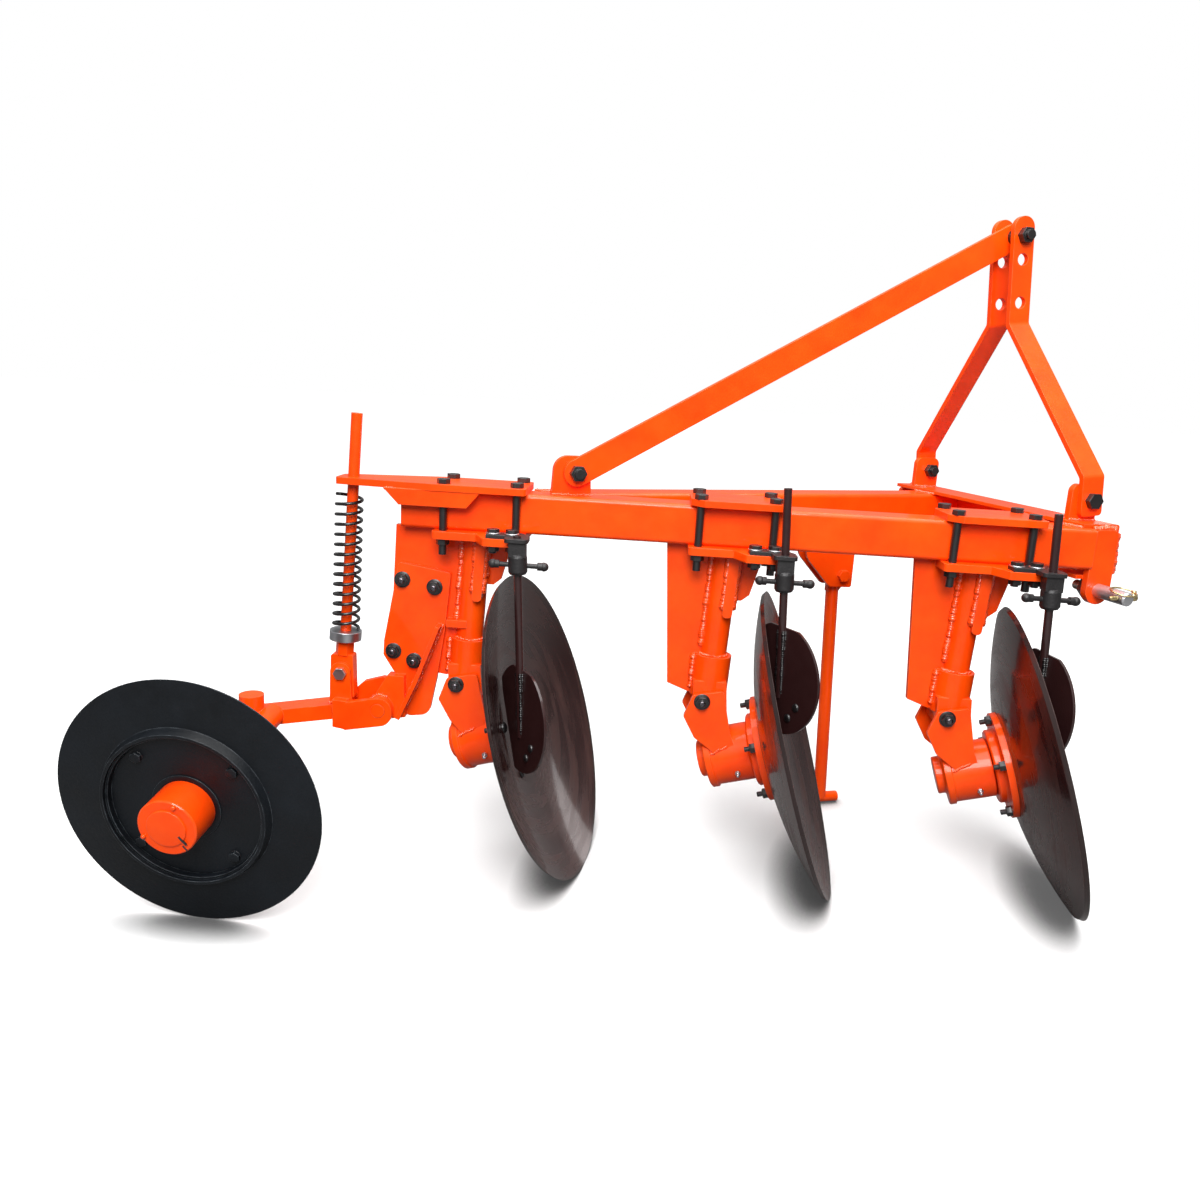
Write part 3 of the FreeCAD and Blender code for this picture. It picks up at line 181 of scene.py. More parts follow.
class PloughStage(PropertyGroup):
    """Light and floor of the plain stage."""
    key: FloatProperty(name="Overhead light", description="Power of the soft box overhead", subtype="POWER",
                       min=0, max=900, default=120)
    fill: FloatProperty(name="Fill light", description="Power of the soft box beside the camera",
                        subtype="POWER", min=0, max=900, default=235)
    back: FloatProperty(name="Back light", description="Power of the soft box behind, seen in the discs",
                        subtype="POWER", min=0, max=900, default=7)
    sky: FloatProperty(name="Sky", description="Strength of the even light from straight above",
                       subtype="FACTOR", min=0, max=3, default=0.62)
    horizon: FloatProperty(name="Horizon", description="Strength of the even light from the sides",
                           subtype="FACTOR", min=0, max=3, default=0.14)
    gloss_share: FloatProperty(name="Gloss share", subtype="FACTOR", min=0, max=1, default=0.09,
                               description="Share of the white background that gloss shows")
    floor: FloatVectorProperty(name="Floor", description="Colour of the floor", subtype="COLOR",
                               size=3, min=0, max=1, default=(0.82, 0.82, 0.82))


# ---------------------------------------------------------------- shader nodes
def add(tree, kind, inputs=None, **settings):
    """One shader node with its settings and the values or links of its inputs."""
    made = tree.nodes.new(kind)
    for name, value in settings.items():
        setattr(made, name, value)
    for name, value in (inputs or {}).items():
        socket = made.inputs[name]
        if isinstance(value, bpy.types.NodeSocket):
            tree.links.new(value, socket)
        else:
            socket.default_value = value
    return made


def group(name, inputs, outputs):
    """Empty shader group with named sockets, and its two end nodes."""
    tree = bpy.data.node_groups.new(name, "ShaderNodeTree")
    for label, kind, value in inputs:
        tree.interface.new_socket(label, in_out="INPUT", socket_type=kind).default_value = value
    for label, kind in outputs:
        tree.interface.new_socket(label, in_out="OUTPUT", socket_type=kind)
    return tree, tree.nodes.new("NodeGroupInput").outputs, tree.nodes.new("NodeGroupOutput").inputs


def mapped(tree, value, low, high, out_low=0.0, out_high=1.0):
    """Value stretched from one range to another, and held to it."""
    limits = {0: value, 1: low, 2: high, 3: out_low, 4: out_high}
    return add(tree, "ShaderNodeMapRange", limits, clamp=True).outputs[0]


def mixed(tree, factor, first, second):
    """Colour between two others."""
    return add(tree, "ShaderNodeMix", {0: factor, 6: first, 7: second}, data_type="RGBA").outputs[2]


def worked(tree, operation, first, second):
    """Result of one sum with two numbers."""
    return add(tree, "ShaderNodeMath", {0: first, 1: second}, operation=operation).outputs[0]


def times(tree, first, second):
    """Product of two numbers."""
    return worked(tree, "MULTIPLY", first, second)


def own_place(tree):
    """Place in the piece's own space, in m."""
    return add(tree, "ShaderNodeTexCoord").outputs["Object"]


def noise(tree, place, scale, detail, **more):
    """Noise over a place, mostly between a third and two thirds."""
    return add(tree, "ShaderNodeTexNoise",
               {"Vector": place, "Scale": scale, "Detail": detail, **more}).outputs[0]


def rgba(colour, share=1.0):
    """Colour as a socket takes it, made darker or lighter by a share."""
    return (*(c * share for c in colour), 1.0)


def surface(name, look):
    """New material whose Principled shader takes its constants from look."""
    made = bpy.data.materials.new(name)
    made.use_nodes = True
    shader = made.node_tree.nodes["Principled BSDF"]
    for label, value in look.items():
        shader.inputs[label].default_value = value
    return made, made.node_tree, shader.inputs


def use(tree, made, **inputs):
    """Outputs of a shared group placed in a material with its own values."""
    placed = add(tree, "ShaderNodeGroup", node_tree=made)
    for name, value in inputs.items():
        placed.inputs[name].default_value = value
    return placed.outputs


# ---------------------------------------------------------------- finishes
def cloud_group():
    """Soft patches over the piece's own space, 0 to 1, sharper as the contrast value falls."""
    tree, given, out = group("plough_clouds", [("Scale", FLOAT, 10.0), ("Contrast", FLOAT, 0.2)],
                             [("Mask", FLOAT)])
    patches = noise(tree, own_place(tree), given["Scale"], 6.0, Roughness=0.62)
    low = worked(tree, "SUBTRACT", 0.5, given["Contrast"])
    high = worked(tree, "ADD", 0.5, given["Contrast"])
    tree.links.new(mapped(tree, patches, low, high), out["Mask"])
    return tree


def edge_group():
    """Mask of the edges, broken up so that they look rubbed, and the rounded normal; the paint and the wheel put a
    painted highlight there, the others wear.
    """
    tree, given, out = group("plough_edges", [("Width", FLOAT, 0.002), ("Break", FLOAT, 60.0)],
                             [("Mask", FLOAT), ("Normal", VECTOR)])
    rounded = add(tree, "ShaderNodeBevel", {"Radius": given["Width"]}, samples=6).outputs[0]
    flat = add(tree, "ShaderNodeNewGeometry").outputs["Normal"]
    facing = add(tree, "ShaderNodeVectorMath", {0: rounded, 1: flat}, operation="DOT_PRODUCT")
    edge = mapped(tree, facing.outputs["Value"], 0.985, 0.80)
    rubbed_and_highlighted = mapped(tree, noise(tree, own_place(tree), given["Break"], 4.0), 0.36, 0.62, 0.15, 1.0)
    tree.links.new(times(tree, edge, rubbed_and_highlighted), out["Mask"])
    tree.links.new(rounded, out["Normal"])
    return tree


def grain_group():
    """Height pattern of a sprayed, cast or rolled surface: fine grain on wide waves."""
    tree, given, out = group("plough_grain", [("Scale", FLOAT, 300.0), ("Waves", FLOAT, 18.0)],
                             [("Height", FLOAT)])
    place = own_place(tree)
    fine = noise(tree, place, given["Scale"], 2.0)
    wide = noise(tree, place, given["Waves"], 1.0)
    both = add(tree, "ShaderNodeMath", {0: wide, 1: 3.0, 2: fine}, operation="MULTIPLY_ADD")
    tree.links.new(both.outputs[0], out["Height"])
    return tree


def finishes(paint):
    """Makes the plough's materials."""
    clouds, edges, grain = cloud_group(), edge_group(), grain_group()

    def coat(name, look, colours, roughness, fine, height, patch=9.0, waves=18.0):
        """A coated steel: patches of two colours, rubbed edges, which on the paint and the wheel also carry a
        painted highlight, and the grain of spray or casting.
        """
        base, shade, edge = colours
        _, tree, shader = surface(name, look)
        patches = use(tree, clouds, Scale=patch, Contrast=0.22)["Mask"]
        gloss = use(tree, clouds, Scale=patch * 4, Contrast=0.25)["Mask"]
        # edge colour: rubbed wear, and on the orange paint and the wheel a painted highlight along the edges
        rim = use(tree, edges, Width=paint.edge_width, Break=55.0)
        body = mixed(tree, patches, shade, base)
        tree.links.new(mixed(tree, rim["Mask"], body, edge), shader["Base Color"])
        tree.links.new(mapped(tree, gloss, 0, 1, *roughness), shader["Roughness"])
        bump = add(tree, "ShaderNodeBump", {
            "Strength": 0.5, "Distance": height, "Normal": rim["Normal"],
            "Height": use(tree, grain, Scale=fine, Waves=waves)["Height"]})
        tree.links.new(bump.outputs[0], shader["Normal"])

    metal = {"Metallic": 1.0}
    black, zinc, dark = paint.blacking, paint.zinc, paint.varnish
    orange = rgba(paint.paint), rgba(paint.paint_shade), rgba(paint.edge_wear_and_highlight)
    blacked = rgba(black), rgba(black, 0.6), rgba(black, 5)
    # the orange's edge colour is partly thin coat and partly a painted highlight along the edges; the welds share
    # it
    coat("orange_paint", {"Coat Weight": 0.35, "Coat Roughness": 0.07, "Specular IOR Level": 0.15},
         orange, roughness=(0.30, 0.44), fine=420.0, height=0.0006)
    coat("weld_paint", {"Coat Weight": 1.0, "Coat Roughness": 0.05},
         orange, roughness=(0.18, 0.30), fine=260.0, height=0.0030, patch=30.0, waves=90.0)
    coat("black_bolt", {"Coat Weight": 0.5, "Coat Roughness": 0.15},
         blacked, roughness=(0.34, 0.52), fine=700.0, height=0.0004)
    coat("worn_bolt", metal, (rgba((0.22, 0.20, 0.22)), rgba((0.07, 0.06, 0.07)), rgba((0.5, 0.5, 0.52))),
         roughness=(0.18, 0.34), fine=900.0, height=0.0003, patch=90.0)
    coat("black_casting", {}, (rgba(black, 1.3), rgba(black), rgba(black, 5)),
         roughness=(0.42, 0.62), fine=260.0, height=0.0012)
    # the wheel's light blue-grey edge colour is a painted highlight along its edges, broken up like rubbed wear
    coat("black_wheel", {"Specular IOR Level": 0.3},
         (rgba((0.0036, 0.0058, 0.0090)), rgba((0.0012, 0.0018, 0.0026)), rgba((0.10, 0.115, 0.13))),
         roughness=(0.36, 0.62), fine=180.0, height=0.0010, patch=7.0, waves=9.0)
    coat("black_spring", {"Coat Weight": 0.3},
         blacked, roughness=(0.22, 0.34), fine=500.0, height=0.0003)
    coat("scraper_varnish", {"Coat Weight": 0.8, "Coat Roughness": 0.1, "Specular IOR Level": 0.2},
         (rgba(dark, 1.4), rgba(dark), rgba((0.05, 0.035, 0.034))),
         roughness=(0.3, 0.5), fine=300.0, height=0.0005)
    coat("zinc_plate", metal, (rgba(zinc), rgba(zinc, 0.7), rgba((0.8, 0.82, 0.85))),
         roughness=(0.28, 0.42), fine=600.0, height=0.0003)
    coat("bright_steel", metal,
         (rgba((0.50, 0.50, 0.52)), rgba((0.34, 0.33, 0.34)), rgba((0.75, 0.75, 0.77))),
         roughness=(0.22, 0.38), fine=900.0, height=0.0003)
    coat("yellow_zinc", metal,
         (rgba((0.72, 0.58, 0.30)), rgba((0.55, 0.42, 0.20)), rgba((0.85, 0.75, 0.5))),
         roughness=(0.25, 0.35), fine=600.0, height=0.0002)
    for number in UNITS:
        varnish(number, paint, clouds, edges)


def varnish(number, paint, clouds, edges):
    """Dark varnish on a rolled disc: faint rings about its axis, brown smears that are partly its own tone and
    partly a painted sheen of brushed reflections, and a ground rim.
    """
    middle, axis = AXES["disc_%d_spin" % number]
    _, tree, shader = surface("disc_varnish_%d" % number, {
        "Coat Weight": 0.4, "Coat Roughness": 0.08, "Coat Tint": rgba((0.9, 0.75, 0.72)),
        "Specular IOR Level": 0.3, "Specular Tint": rgba((1.0, 0.56, 0.50))})
    brown, ground, worn = (0.052, 0.023, 0.020), (0.022, 0.017, 0.017), (0.09, 0.075, 0.072)

    turn = axis.to_track_quat("Z", "Y").to_euler()
    local = add(tree, "ShaderNodeMapping", {"Vector": own_place(tree), "Location": middle, "Rotation": turn},
                vector_type="TEXTURE").outputs[0]
    across = add(tree, "ShaderNodeVectorMath", {0: local, 1: (1, 1, 0)}, operation="MULTIPLY").outputs[0]
    radius = add(tree, "ShaderNodeVectorMath", {0: across}, operation="LENGTH").outputs["Value"]
    spot = add(tree, "ShaderNodeSeparateXYZ", {0: local}).outputs
    angle = worked(tree, "ARCTAN2", spot["Y"], spot["X"])

    rings = add(tree, "ShaderNodeTexNoise", {"W": radius, "Scale": 260.0, "Detail": 3.0},
                noise_dimensions="1D").outputs[0]
    polar = add(tree, "ShaderNodeCombineXYZ", {"X": times(tree, radius, 34.0), "Y": times(tree, angle, 1.3)})
    # brown arcs: partly the varnish's own smeared tone, partly a painted sheen standing in for brushed reflections
    smear = noise(tree, polar.outputs[0], 1.0, 5.0, Distortion=0.6)
    patches = use(tree, clouds, Scale=5.0, Contrast=0.16)["Mask"]
    smears_and_sheen = times(tree, mapped(tree, smear, 0.42, 0.70), mapped(tree, patches, 0, 1, 0.35, 1.0))
    rim = use(tree, edges, Width=0.0012, Break=40.0)
    body = mixed(tree, smears_and_sheen, rgba(paint.varnish), rgba(brown))
    body = mixed(tree, mapped(tree, radius, *GROUND_EDGE), body, rgba(ground))
    tree.links.new(mixed(tree, rim["Mask"], body, rgba(worn)), shader["Base Color"])
    rough = worked(tree, "ADD", mapped(tree, smears_and_sheen, 0, 1, 0.16, 0.46), times(tree, rings, 0.08))
    tree.links.new(rough, shader["Roughness"])
    bump = add(tree, "ShaderNodeBump", {"Strength": 0.25, "Distance": 0.0006, "Height": rings,
                                        "Normal": rim["Normal"]})
    tree.links.new(bump.outputs[0], shader["Normal"])


# ---------------------------------------------------------------- floor and background
def background_rays(tree, look):
    """How much of the white background each ray meets: all for the eye and glass, a share for gloss."""
    ray = add(tree, "ShaderNodeLightPath").outputs
    clear = worked(tree, "MAXIMUM", ray["Is Camera Ray"], ray["Is Transmission Ray"])
    return worked(tree, "MAXIMUM", clear, times(tree, ray["Is Glossy Ray"], look.gloss_share))


def floor_finish(look):
    """Pale matt floor that shows white to the camera and keeps the plough's shadow, with a painted contact shadow
    darkening it close to the plough; paint sees it grey.
    """
    made, tree, shader = surface("pale_floor", {"Roughness": 0.9, "Specular IOR Level": 0.1})
    seen = background_rays(tree, look)
    # painted contact shadow: the floor's colour goes dark where the plough closes off its sky
    open_sky = add(tree, "ShaderNodeAmbientOcclusion", {"Distance": 0.11}, samples=12).outputs["AO"]
    painted_contact_shadow = mapped(tree, open_sky, 0.50, 0.97, 0.02, 1.0)
    pale = mixed(tree, painted_contact_shadow, rgba((0.02, 0.02, 0.02)), rgba(look.floor))
    tree.links.new(mixed(tree, seen, rgba((0.15, 0.15, 0.15)), pale), shader["Base Color"])
    away = add(tree, "ShaderNodeVectorMath", {0: own_place(tree)}, operation="LENGTH").outputs["Value"]
    fading = mapped(tree, away, 0.6, 4.5, 0.05, 0.75)
    lift = add(tree, "ShaderNodeEmission", {"Color": rgba((1, 1, 1)), "Strength": times(tree, seen, fading)})
    both = add(tree, "ShaderNodeAddShader", {0: tree.nodes["Principled BSDF"].outputs[0], 1: lift.outputs[0]})
    tree.links.new(both.outputs[0], tree.nodes["Material Output"].inputs["Surface"])
    return made


def white_world(scene, look):
    """World that shows white to the eye and lights the plough from above more than from the sides."""
    world = bpy.data.worlds.new("soft_world")
    scene.world = world
    world.use_nodes = True
    tree = world.node_tree
    tree.nodes.clear()
    shown = background_rays(tree, look)
    ray = add(tree, "ShaderNodeSeparateXYZ", {0: add(tree, "ShaderNodeTexCoord").outputs["Generated"]})
    lit = mapped(tree, ray.outputs["Z"], 0, 1, look.horizon, look.sky)
    level = mapped(tree, shown, 0, 1, lit, 1.0)
    light = add(tree, "ShaderNodeBackground", {"Color": rgba((1, 1, 1)), "Strength": level})
    tree.links.new(light.outputs[0], add(tree, "ShaderNodeOutputWorld").inputs["Surface"])


# ---------------------------------------------------------------- modelling by hand, in steps
def settle():
    """Object mode with nothing selected."""
    if bpy.context.object and bpy.context.object.mode != "OBJECT":
        bpy.ops.object.mode_set(mode="OBJECT")
    bpy.ops.object.select_all(action="DESELECT")


def fresh(primitive, **where):
    """One new primitive, alone in the selection."""
    settle()
    primitive(**where)
    return bpy.context.object


def cylinder(radius, low, high, sides=24):
    """Round bar along Z between two heights."""
    return fresh(bpy.ops.mesh.primitive_cylinder_add, vertices=sides, radius=radius, depth=high - low,
                 location=(0, 0, (low + high) / 2))


def pick(piece, wanted):
    """Edit mode with just the faces selected whose centre and normal pass the test."""
    bpy.ops.object.mode_set(mode="OBJECT")
    bpy.context.tool_settings.mesh_select_mode = (False, False, True)
    mesh = piece.data
    for part in (mesh.vertices, mesh.edges, mesh.polygons):
        part.foreach_set("select", [False] * len(part))
    for face in mesh.polygons:
        face.select = wanted(piece.matrix_world @ face.center, face.normal)
    bpy.ops.object.mode_set(mode="EDIT")


def pick_end(piece, sign=1):
    """Edit mode with the piece's outermost end face along Z selected."""
    ends = [(piece.matrix_world @ v.co).z for v in piece.data.vertices]
    level = max(ends) if sign > 0 else min(ends)
    pick(piece, lambda centre, normal: normal.z * sign > 0.9 and abs(centre.z - level) < 1e-5)


def push(z, scale=1.0):
    """Draws the selected end out along Z and scales it."""
    bpy.ops.mesh.extrude_region_move(TRANSFORM_OT_translate={"value": (0, 0, z)})
    if scale != 1.0:
        bpy.ops.transform.resize(value=(scale, scale, 1), center_override=(0, 0, 0))


def seat_matrix(spot, aim, turn=0.0, size=1.0):
    """Takes the origin to spot and Z to aim, turned about it and scaled."""
    facing = Vector(aim).to_track_quat("Z", "Y").to_matrix().to_4x4()
    return Matrix.Translation(spot) @ facing @ Matrix.Rotation(turn, 4, "Z") @ Matrix.Scale(size, 4)


def seated(piece, *seat):
    """The piece's mesh taken to its seat; the object stays at the origin."""
    settle()
    piece.data.transform(seat_matrix(*seat) @ piece.matrix_world)
    piece.matrix_world = Matrix.Identity(4)
    return piece


def twins(model, seats):
    """Copies of a model, each with its own mesh, seated by (spot, aim, turn, size); uses the model up."""
    seated(model, (0, 0, 0), (0, 0, 1))
    made = []
    for seat in seats:
        twin = model.copy()
        twin.data = model.data.copy()
        twin.data.transform(seat_matrix(*seat))
        made.append(twin)
    for twin in made:
        bpy.context.collection.objects.link(twin)
    bpy.data.objects.remove(model)
    return made


def together(pieces):
    """Pieces joined into the first of them."""
    settle()
    for piece in pieces:
        piece.select_set(True)
    bpy.context.view_layer.objects.active = pieces[0]
    if len(pieces) > 1:
        bpy.ops.object.join()
    return bpy.context.object


def merged(pieces, name, material, body="frame", smooth=35.0):
    """Pieces joined into one named part of a body, in one finish."""
    part = together(pieces)
    part.name = part.data.name = name
    bpy.ops.object.shade_smooth_by_angle(angle=math.radians(smooth))
    part.data.materials.clear()
    part.data.materials.append(bpy.data.materials[material])
    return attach(part, body)


def hex_head(across, height):
    """Hexagon head standing on Z 0, with its top edge broken."""
    head = cylinder(across / 2 / math.cos(math.pi / 6), 0, height, 6)
    pick_end(head)
    bpy.ops.mesh.bevel(offset=across * 0.07, segments=2, affect="EDGES")
    return head


def threaded(radius, low, high, pitch=0.002):
    """Threaded end as a stack of turned rings."""
    root = 0.9
    rod = cylinder(radius, low, low + pitch / 2, 14)
    pick_end(rod)
    for _ in range(int((high - low) / pitch)):
        push(pitch / 2, root)
        push(pitch / 2, 1 / root)
    push(0.001, 0.8)
    bpy.ops.object.mode_set(mode="OBJECT")
    return rod


def nut_with_end(across, bolt_radius, tail):
    """Hexagon nut, its washer face and the threaded end beyond it."""
    height = across * 0.62
    return together([hex_head(across, height), threaded(bolt_radius, across * 0.6, height + tail),
                     cylinder(across * 0.56, 0, across * 0.08, 20)])


# ---------------------------------------------------------------- places on the plough
def about(axis_name, along, radius, degrees):
    """Place round a joint's axis: how far back along it, how far out, and the angle from its top."""
    middle, axis = AXES[axis_name]
    up = (Vector((0, 0, 1)) - axis * axis.z).normalized()
    side = axis.cross(up)
    turn = math.radians(degrees)
    return middle - axis * along + (up * math.cos(turn) + side * math.sin(turn)) * radius


def on_scraper_rod(unit_x, z):
    """Beam frame place on a scraper's rod, at a height over the beam's under face."""
    t = (z - SCRAPER_TOP.z) / (SCRAPER_LOW.z - SCRAPER_TOP.z)
    spot = SCRAPER_TOP.lerp(SCRAPER_LOW, t)
    return Vector((unit_x + spot.x, spot.y, BEAM_FLOOR + spot.z))


def blade_place(number):
    """Blade's middle, its level direction and its face's normal, in the beam frame, mm."""
    drop, yaw = ROD_DROP_AND_YAW[number - 1]
    down = (SCRAPER_LOW - SCRAPER_TOP).normalized()
    top = SCRAPER_TOP + Vector((UNIT_X[number - 1], 0, BEAM_FLOOR))
    c, s = math.cos(math.radians(yaw)), math.sin(math.radians(yaw))
    return top + down * (drop + BLADE_DOWN), Vector((c, s, 0)), Vector((s, -c, 0))


def pipe_x(z):
    """How far along the beam a leg's slanting pipe stands at a height over the beam's under face, mm."""
    (top_x, top_z), (low_x, low_z) = PIPE_TOP, PIPE_LOW
    return top_x + (z - top_z) / (low_z - top_z) * (low_x - top_x)


def turn_to(axis, direction):
    """Turn about an axis that takes a seated piece's Y to a direction."""
    basis = Vector(axis).to_track_quat("Z", "Y").to_matrix()
    local = basis.inverted() @ Vector(direction)
    return math.atan2(local.y, local.x) - math.pi / 2


# ---------------------------------------------------------------- welds
def ring(centre, axis, radius, start=0.0, end=360.0, steps=24):
    """Points of an arc about an axis."""
    axis = Vector(axis).normalized()
    upright = abs(axis.z) > 0.99
    up = (axis.orthogonal() if upright else Vector((0, 0, 1)) - axis * axis.z).normalized()
    side = axis.cross(up)
    angles = [math.radians(start + (end - start) * i / steps) for i in range(steps + 1)]
    return [centre + (up * math.cos(a) + side * math.sin(a)) * radius for a in angles]


def frame_welds():
    """Weld paths of the cross beam, the mast's lugs, the beams, the stay's lug and the rear bracket."""
    t, b = from_travel, from_beam
    # the mast's lugs on the cross beam
    paths = [[t(656, y, 820), t(718, y, 820)] for y in (-190.5, -174.5, 370.5, 386.5)]
    # the main beam and the strut on the cross beam, and the strut on the main beam
    for z in (811, 728):
        paths.append([t(647, -239, z), t(647, -175, z)])
        paths.append([t(647, 272, z), t(647, 353, z)])
        paths.append([b(-421, 42, z), b(-319, 42, z)])
    paths.append([b(-317, 42, 731), b(-317, 42, 809)])
    # the stay's lug on the main beam
    paths += [[t(-365, y, 812), t(-285, y, 812)] for y in (103, 117)]
    # the rear bracket: both sides of its rib, and the boss of the arm's pivot
    rib = ((-606, -210), (-652, -331), (-688, -410))
    for shift in (-6, 6):
        paths.append([b(x + shift, -20, BEAM_FLOOR + z) for x, z in rib])
    paths.append(ring(b(-730, -38, BEAM_FLOOR - 398), turned((0, -1, 0)), 0.0285, -30, 110, 14))
    # the arm's yoke on its tube
    yoke = BEAM_FLOOR - 394
    paths.append([b(-829, -48, yoke), b(-829, 13, yoke)])
    paths.append([b(-829, -50, yoke - 2), b(-829, -50, yoke - 32)])
    paths.append([b(-840, -43.5, yoke + 1), b(-796, -43.5, yoke + 1)])
    # the rear top plate's stiffener
    paths.append([b(-716, -63, BEAM_TOP - 1), b(-524, -63, BEAM_TOP - 1)])
    return paths


def leg_rings(unit_x):
    """Weld paths round one leg's pipe: under its foot plate and at the sleeve's upper rim."""
    under_foot, sleeve_rim = -17, -236
    top, rim = [from_beam(unit_x + pipe_x(z), 0, BEAM_FLOOR + z) for z in (under_foot, sleeve_rim)]
    return [ring(top, (0, 0, 1), 0.030), ring(rim, rim - top, 0.0295)]


def drop_plate_welds():
    """Wide weld paths of the hitch pins' drop plates, on the front and the top of the cross beam's ends."""
    t = from_travel
    paths = []
    for y in (-250, 446):
        paths.append([t(726.5, y, 722), t(726.5, y, 801)])
        paths.append([t(719, y, 811), t(668, y, 811)])
    return paths


def leg_welds(unit_x):
    """Wide weld paths on one leg, where the gusset and the webs run along its pipe."""
    def at(x, y, z):
        return from_beam(unit_x + x, y, BEAM_FLOOR + z)

    paths = []
    for side in (-1, 1):
        for ahead, apart, heights in PIPE_SEAMS:
            paths.append([at(pipe_x(z) + ahead, side * apart, z) for z in heights])
    for top_x, lean, y in NEAR_WEB_EDGES:
        paths.append([at(top_x + (z - NEAR_WEB_TOP) * lean / NEAR_WEB_HEIGHT, y, z)
                      for z in (-20, -80, -130)])
    return paths


def hub_welds(number):
    """Weld of each cheek along the housing, where the cheek's outer face meets it."""
    paths = []
    for side in (-1, 1):
        path = []
        for back in range(44, 98, 6):
            reach = CHEEK_FACE + side * (HUB_DRIFT * back - HUB_ASIDE)
            degrees = side * math.degrees(math.asin(reach / HUB_SEAM_R))
            path.append(about("disc_%d_spin" % number, HOUSING_FRONT + back / 1000, HOUSING_R, degrees))
        paths.append(path)
    return paths


def rod_welds(number):
    """Weld paths of a scraper's rod on both faces of its blade."""
    middle, across, face = blade_place(number)
    down = (SCRAPER_LOW - SCRAPER_TOP).normalized()
    paths = []
    for out in (-1, 1):
        for side in (-1, 1):
            shift = across * 7.5 * side + face * 3.0 * out
            paths.append([from_beam(*(middle + shift + down * s)) for s in (-96, 30)])
    return paths


def bead(path, width, pitch):
    """Seats of the ripples of a weld laid along a path, with a hand's sway and uneven size."""
    seats = []
    left = 0.0
    for start, end in zip(path, path[1:]):
        run = end - start
        across = run.orthogonal().normalized()
        while left < run.length:
            n = len(seats)
            sway = width * (0.09 * math.sin(n * 0.9) + 0.07 * math.sin(n * 2.3))
            swell = 1 + 0.15 * math.sin(n * 0.37) + 0.10 * math.sin(n * 1.7)
            seats.append((start + run.normalized() * left + across * sway, run, n * 0.8, swell))
            left += pitch
        left -= run.length
    return seats


def lay(paths, name, material, width, pitch):
    """One piece of weld beads along all these paths."""
    ripple = fresh(bpy.ops.mesh.primitive_uv_sphere_add, segments=8, ring_count=5, radius=width / 2)
    bpy.ops.object.mode_set(mode="EDIT")
    bpy.ops.mesh.select_all(action="SELECT")
    bpy.ops.transform.resize(value=(1.0, 1.0, 0.62), center_override=(0, 0, 0))
    settle()
    seats = [seat for path in paths for seat in bead(path, width, pitch)]
    merged(twins(ripple, seats), name, material, smooth=60)


# ---------------------------------------------------------------- pieces of the wheel's hub
def peg(angle):
    """Short round peg standing on the wheel hub's end."""
    made = cylinder(0.0042, -0.002, 0.004, 14)
    pick_end(made)
    push(0.0015, 0.7)
    return seated(made, about("wheel_spin", -WHEEL_HUB_END, PEG_CIRCLE, angle), AXES["wheel_spin"][1])


def split_pin():
    """The hub's split pin and the slot that it bends out of."""
    middle, axis = AXES["wheel_spin"]
    slot = fresh(bpy.ops.mesh.primitive_cube_add, size=1)
    bpy.ops.object.mode_set(mode="EDIT")
    bpy.ops.transform.resize(value=(0.003, 0.012, 0.001), center_override=(0, 0, 0))
    spot = about("wheel_spin", -WHEEL_HUB_END, *SLOT_PLACE)
    outward = spot - middle - axis * WHEEL_HUB_END
    pin = cylinder(0.0022, -0.009, 0.009, 10)
    pick_end(pin)
    push(0.003, 0.6)
    return [seated(slot, spot, axis, turn_to(axis, outward)),
            seated(pin, about("wheel_spin", -WHEEL_HUB_END - 0.003, *PIN_PLACE), outward)]


# ---------------------------------------------------------------- operators
class PLOUGH_OT_paint(Operator):
    """Give every part of the frame its finish"""
    bl_idname = "plough.paint"
    bl_label = "Paint and steel"

    def execute(self, context):
        finishes(context.scene.plough_paint)
        chosen = {"black_steel": "black_bolt", "paint": "orange_paint", "zinc": "zinc_plate",
                  "bright_steel": "bright_steel"}
        special = {"coil_spring": "black_spring", "furrow_wheel": "black_wheel"}
        for number in UNITS:
            special["disc_%d" % number] = "disc_varnish_%d" % number
            special["scraper_bracket_%d" % number] = "black_casting"
            special["scraper_%d" % number] = "scraper_varnish"
        slots = {row["node"]: row.get("material_slot") for row in frame["record"]["subparts"]}
        for name, part in NODES.items():
            finish = special.get(name) or chosen[slots[name]]
            part.data.materials.clear()
            part.data.materials.append(bpy.data.materials[finish])
        return {"FINISHED"}


class PLOUGH_OT_welds(Operator):
    """Lay the weld beads where the plates, pipes and beams meet"""
    bl_idname = "plough.welds"
    bl_label = "Weld beads"

    def execute(self, context):
        look = context.scene.plough_welds
        rings = [path for unit_x in UNIT_X for path in leg_rings(unit_x)]
        seams = [path for unit_x in UNIT_X for path in leg_welds(unit_x)]
        hubs = [path for number in UNITS for path in hub_welds(number)]
        rods = [path for number in UNITS for path in rod_welds(number)]
        lay(frame_welds() + rings, "frame_welds", "weld_paint", look.width, look.pitch)
        lay(drop_plate_welds() + seams, "leg_welds", "weld_paint", look.leg_width, look.pitch * 1.2)
        lay(hubs, "hub_welds", "weld_paint", look.width, look.pitch)
        lay(rods, "scraper_welds", "black_spring", look.width, look.pitch)
        return {"FINISHED"}


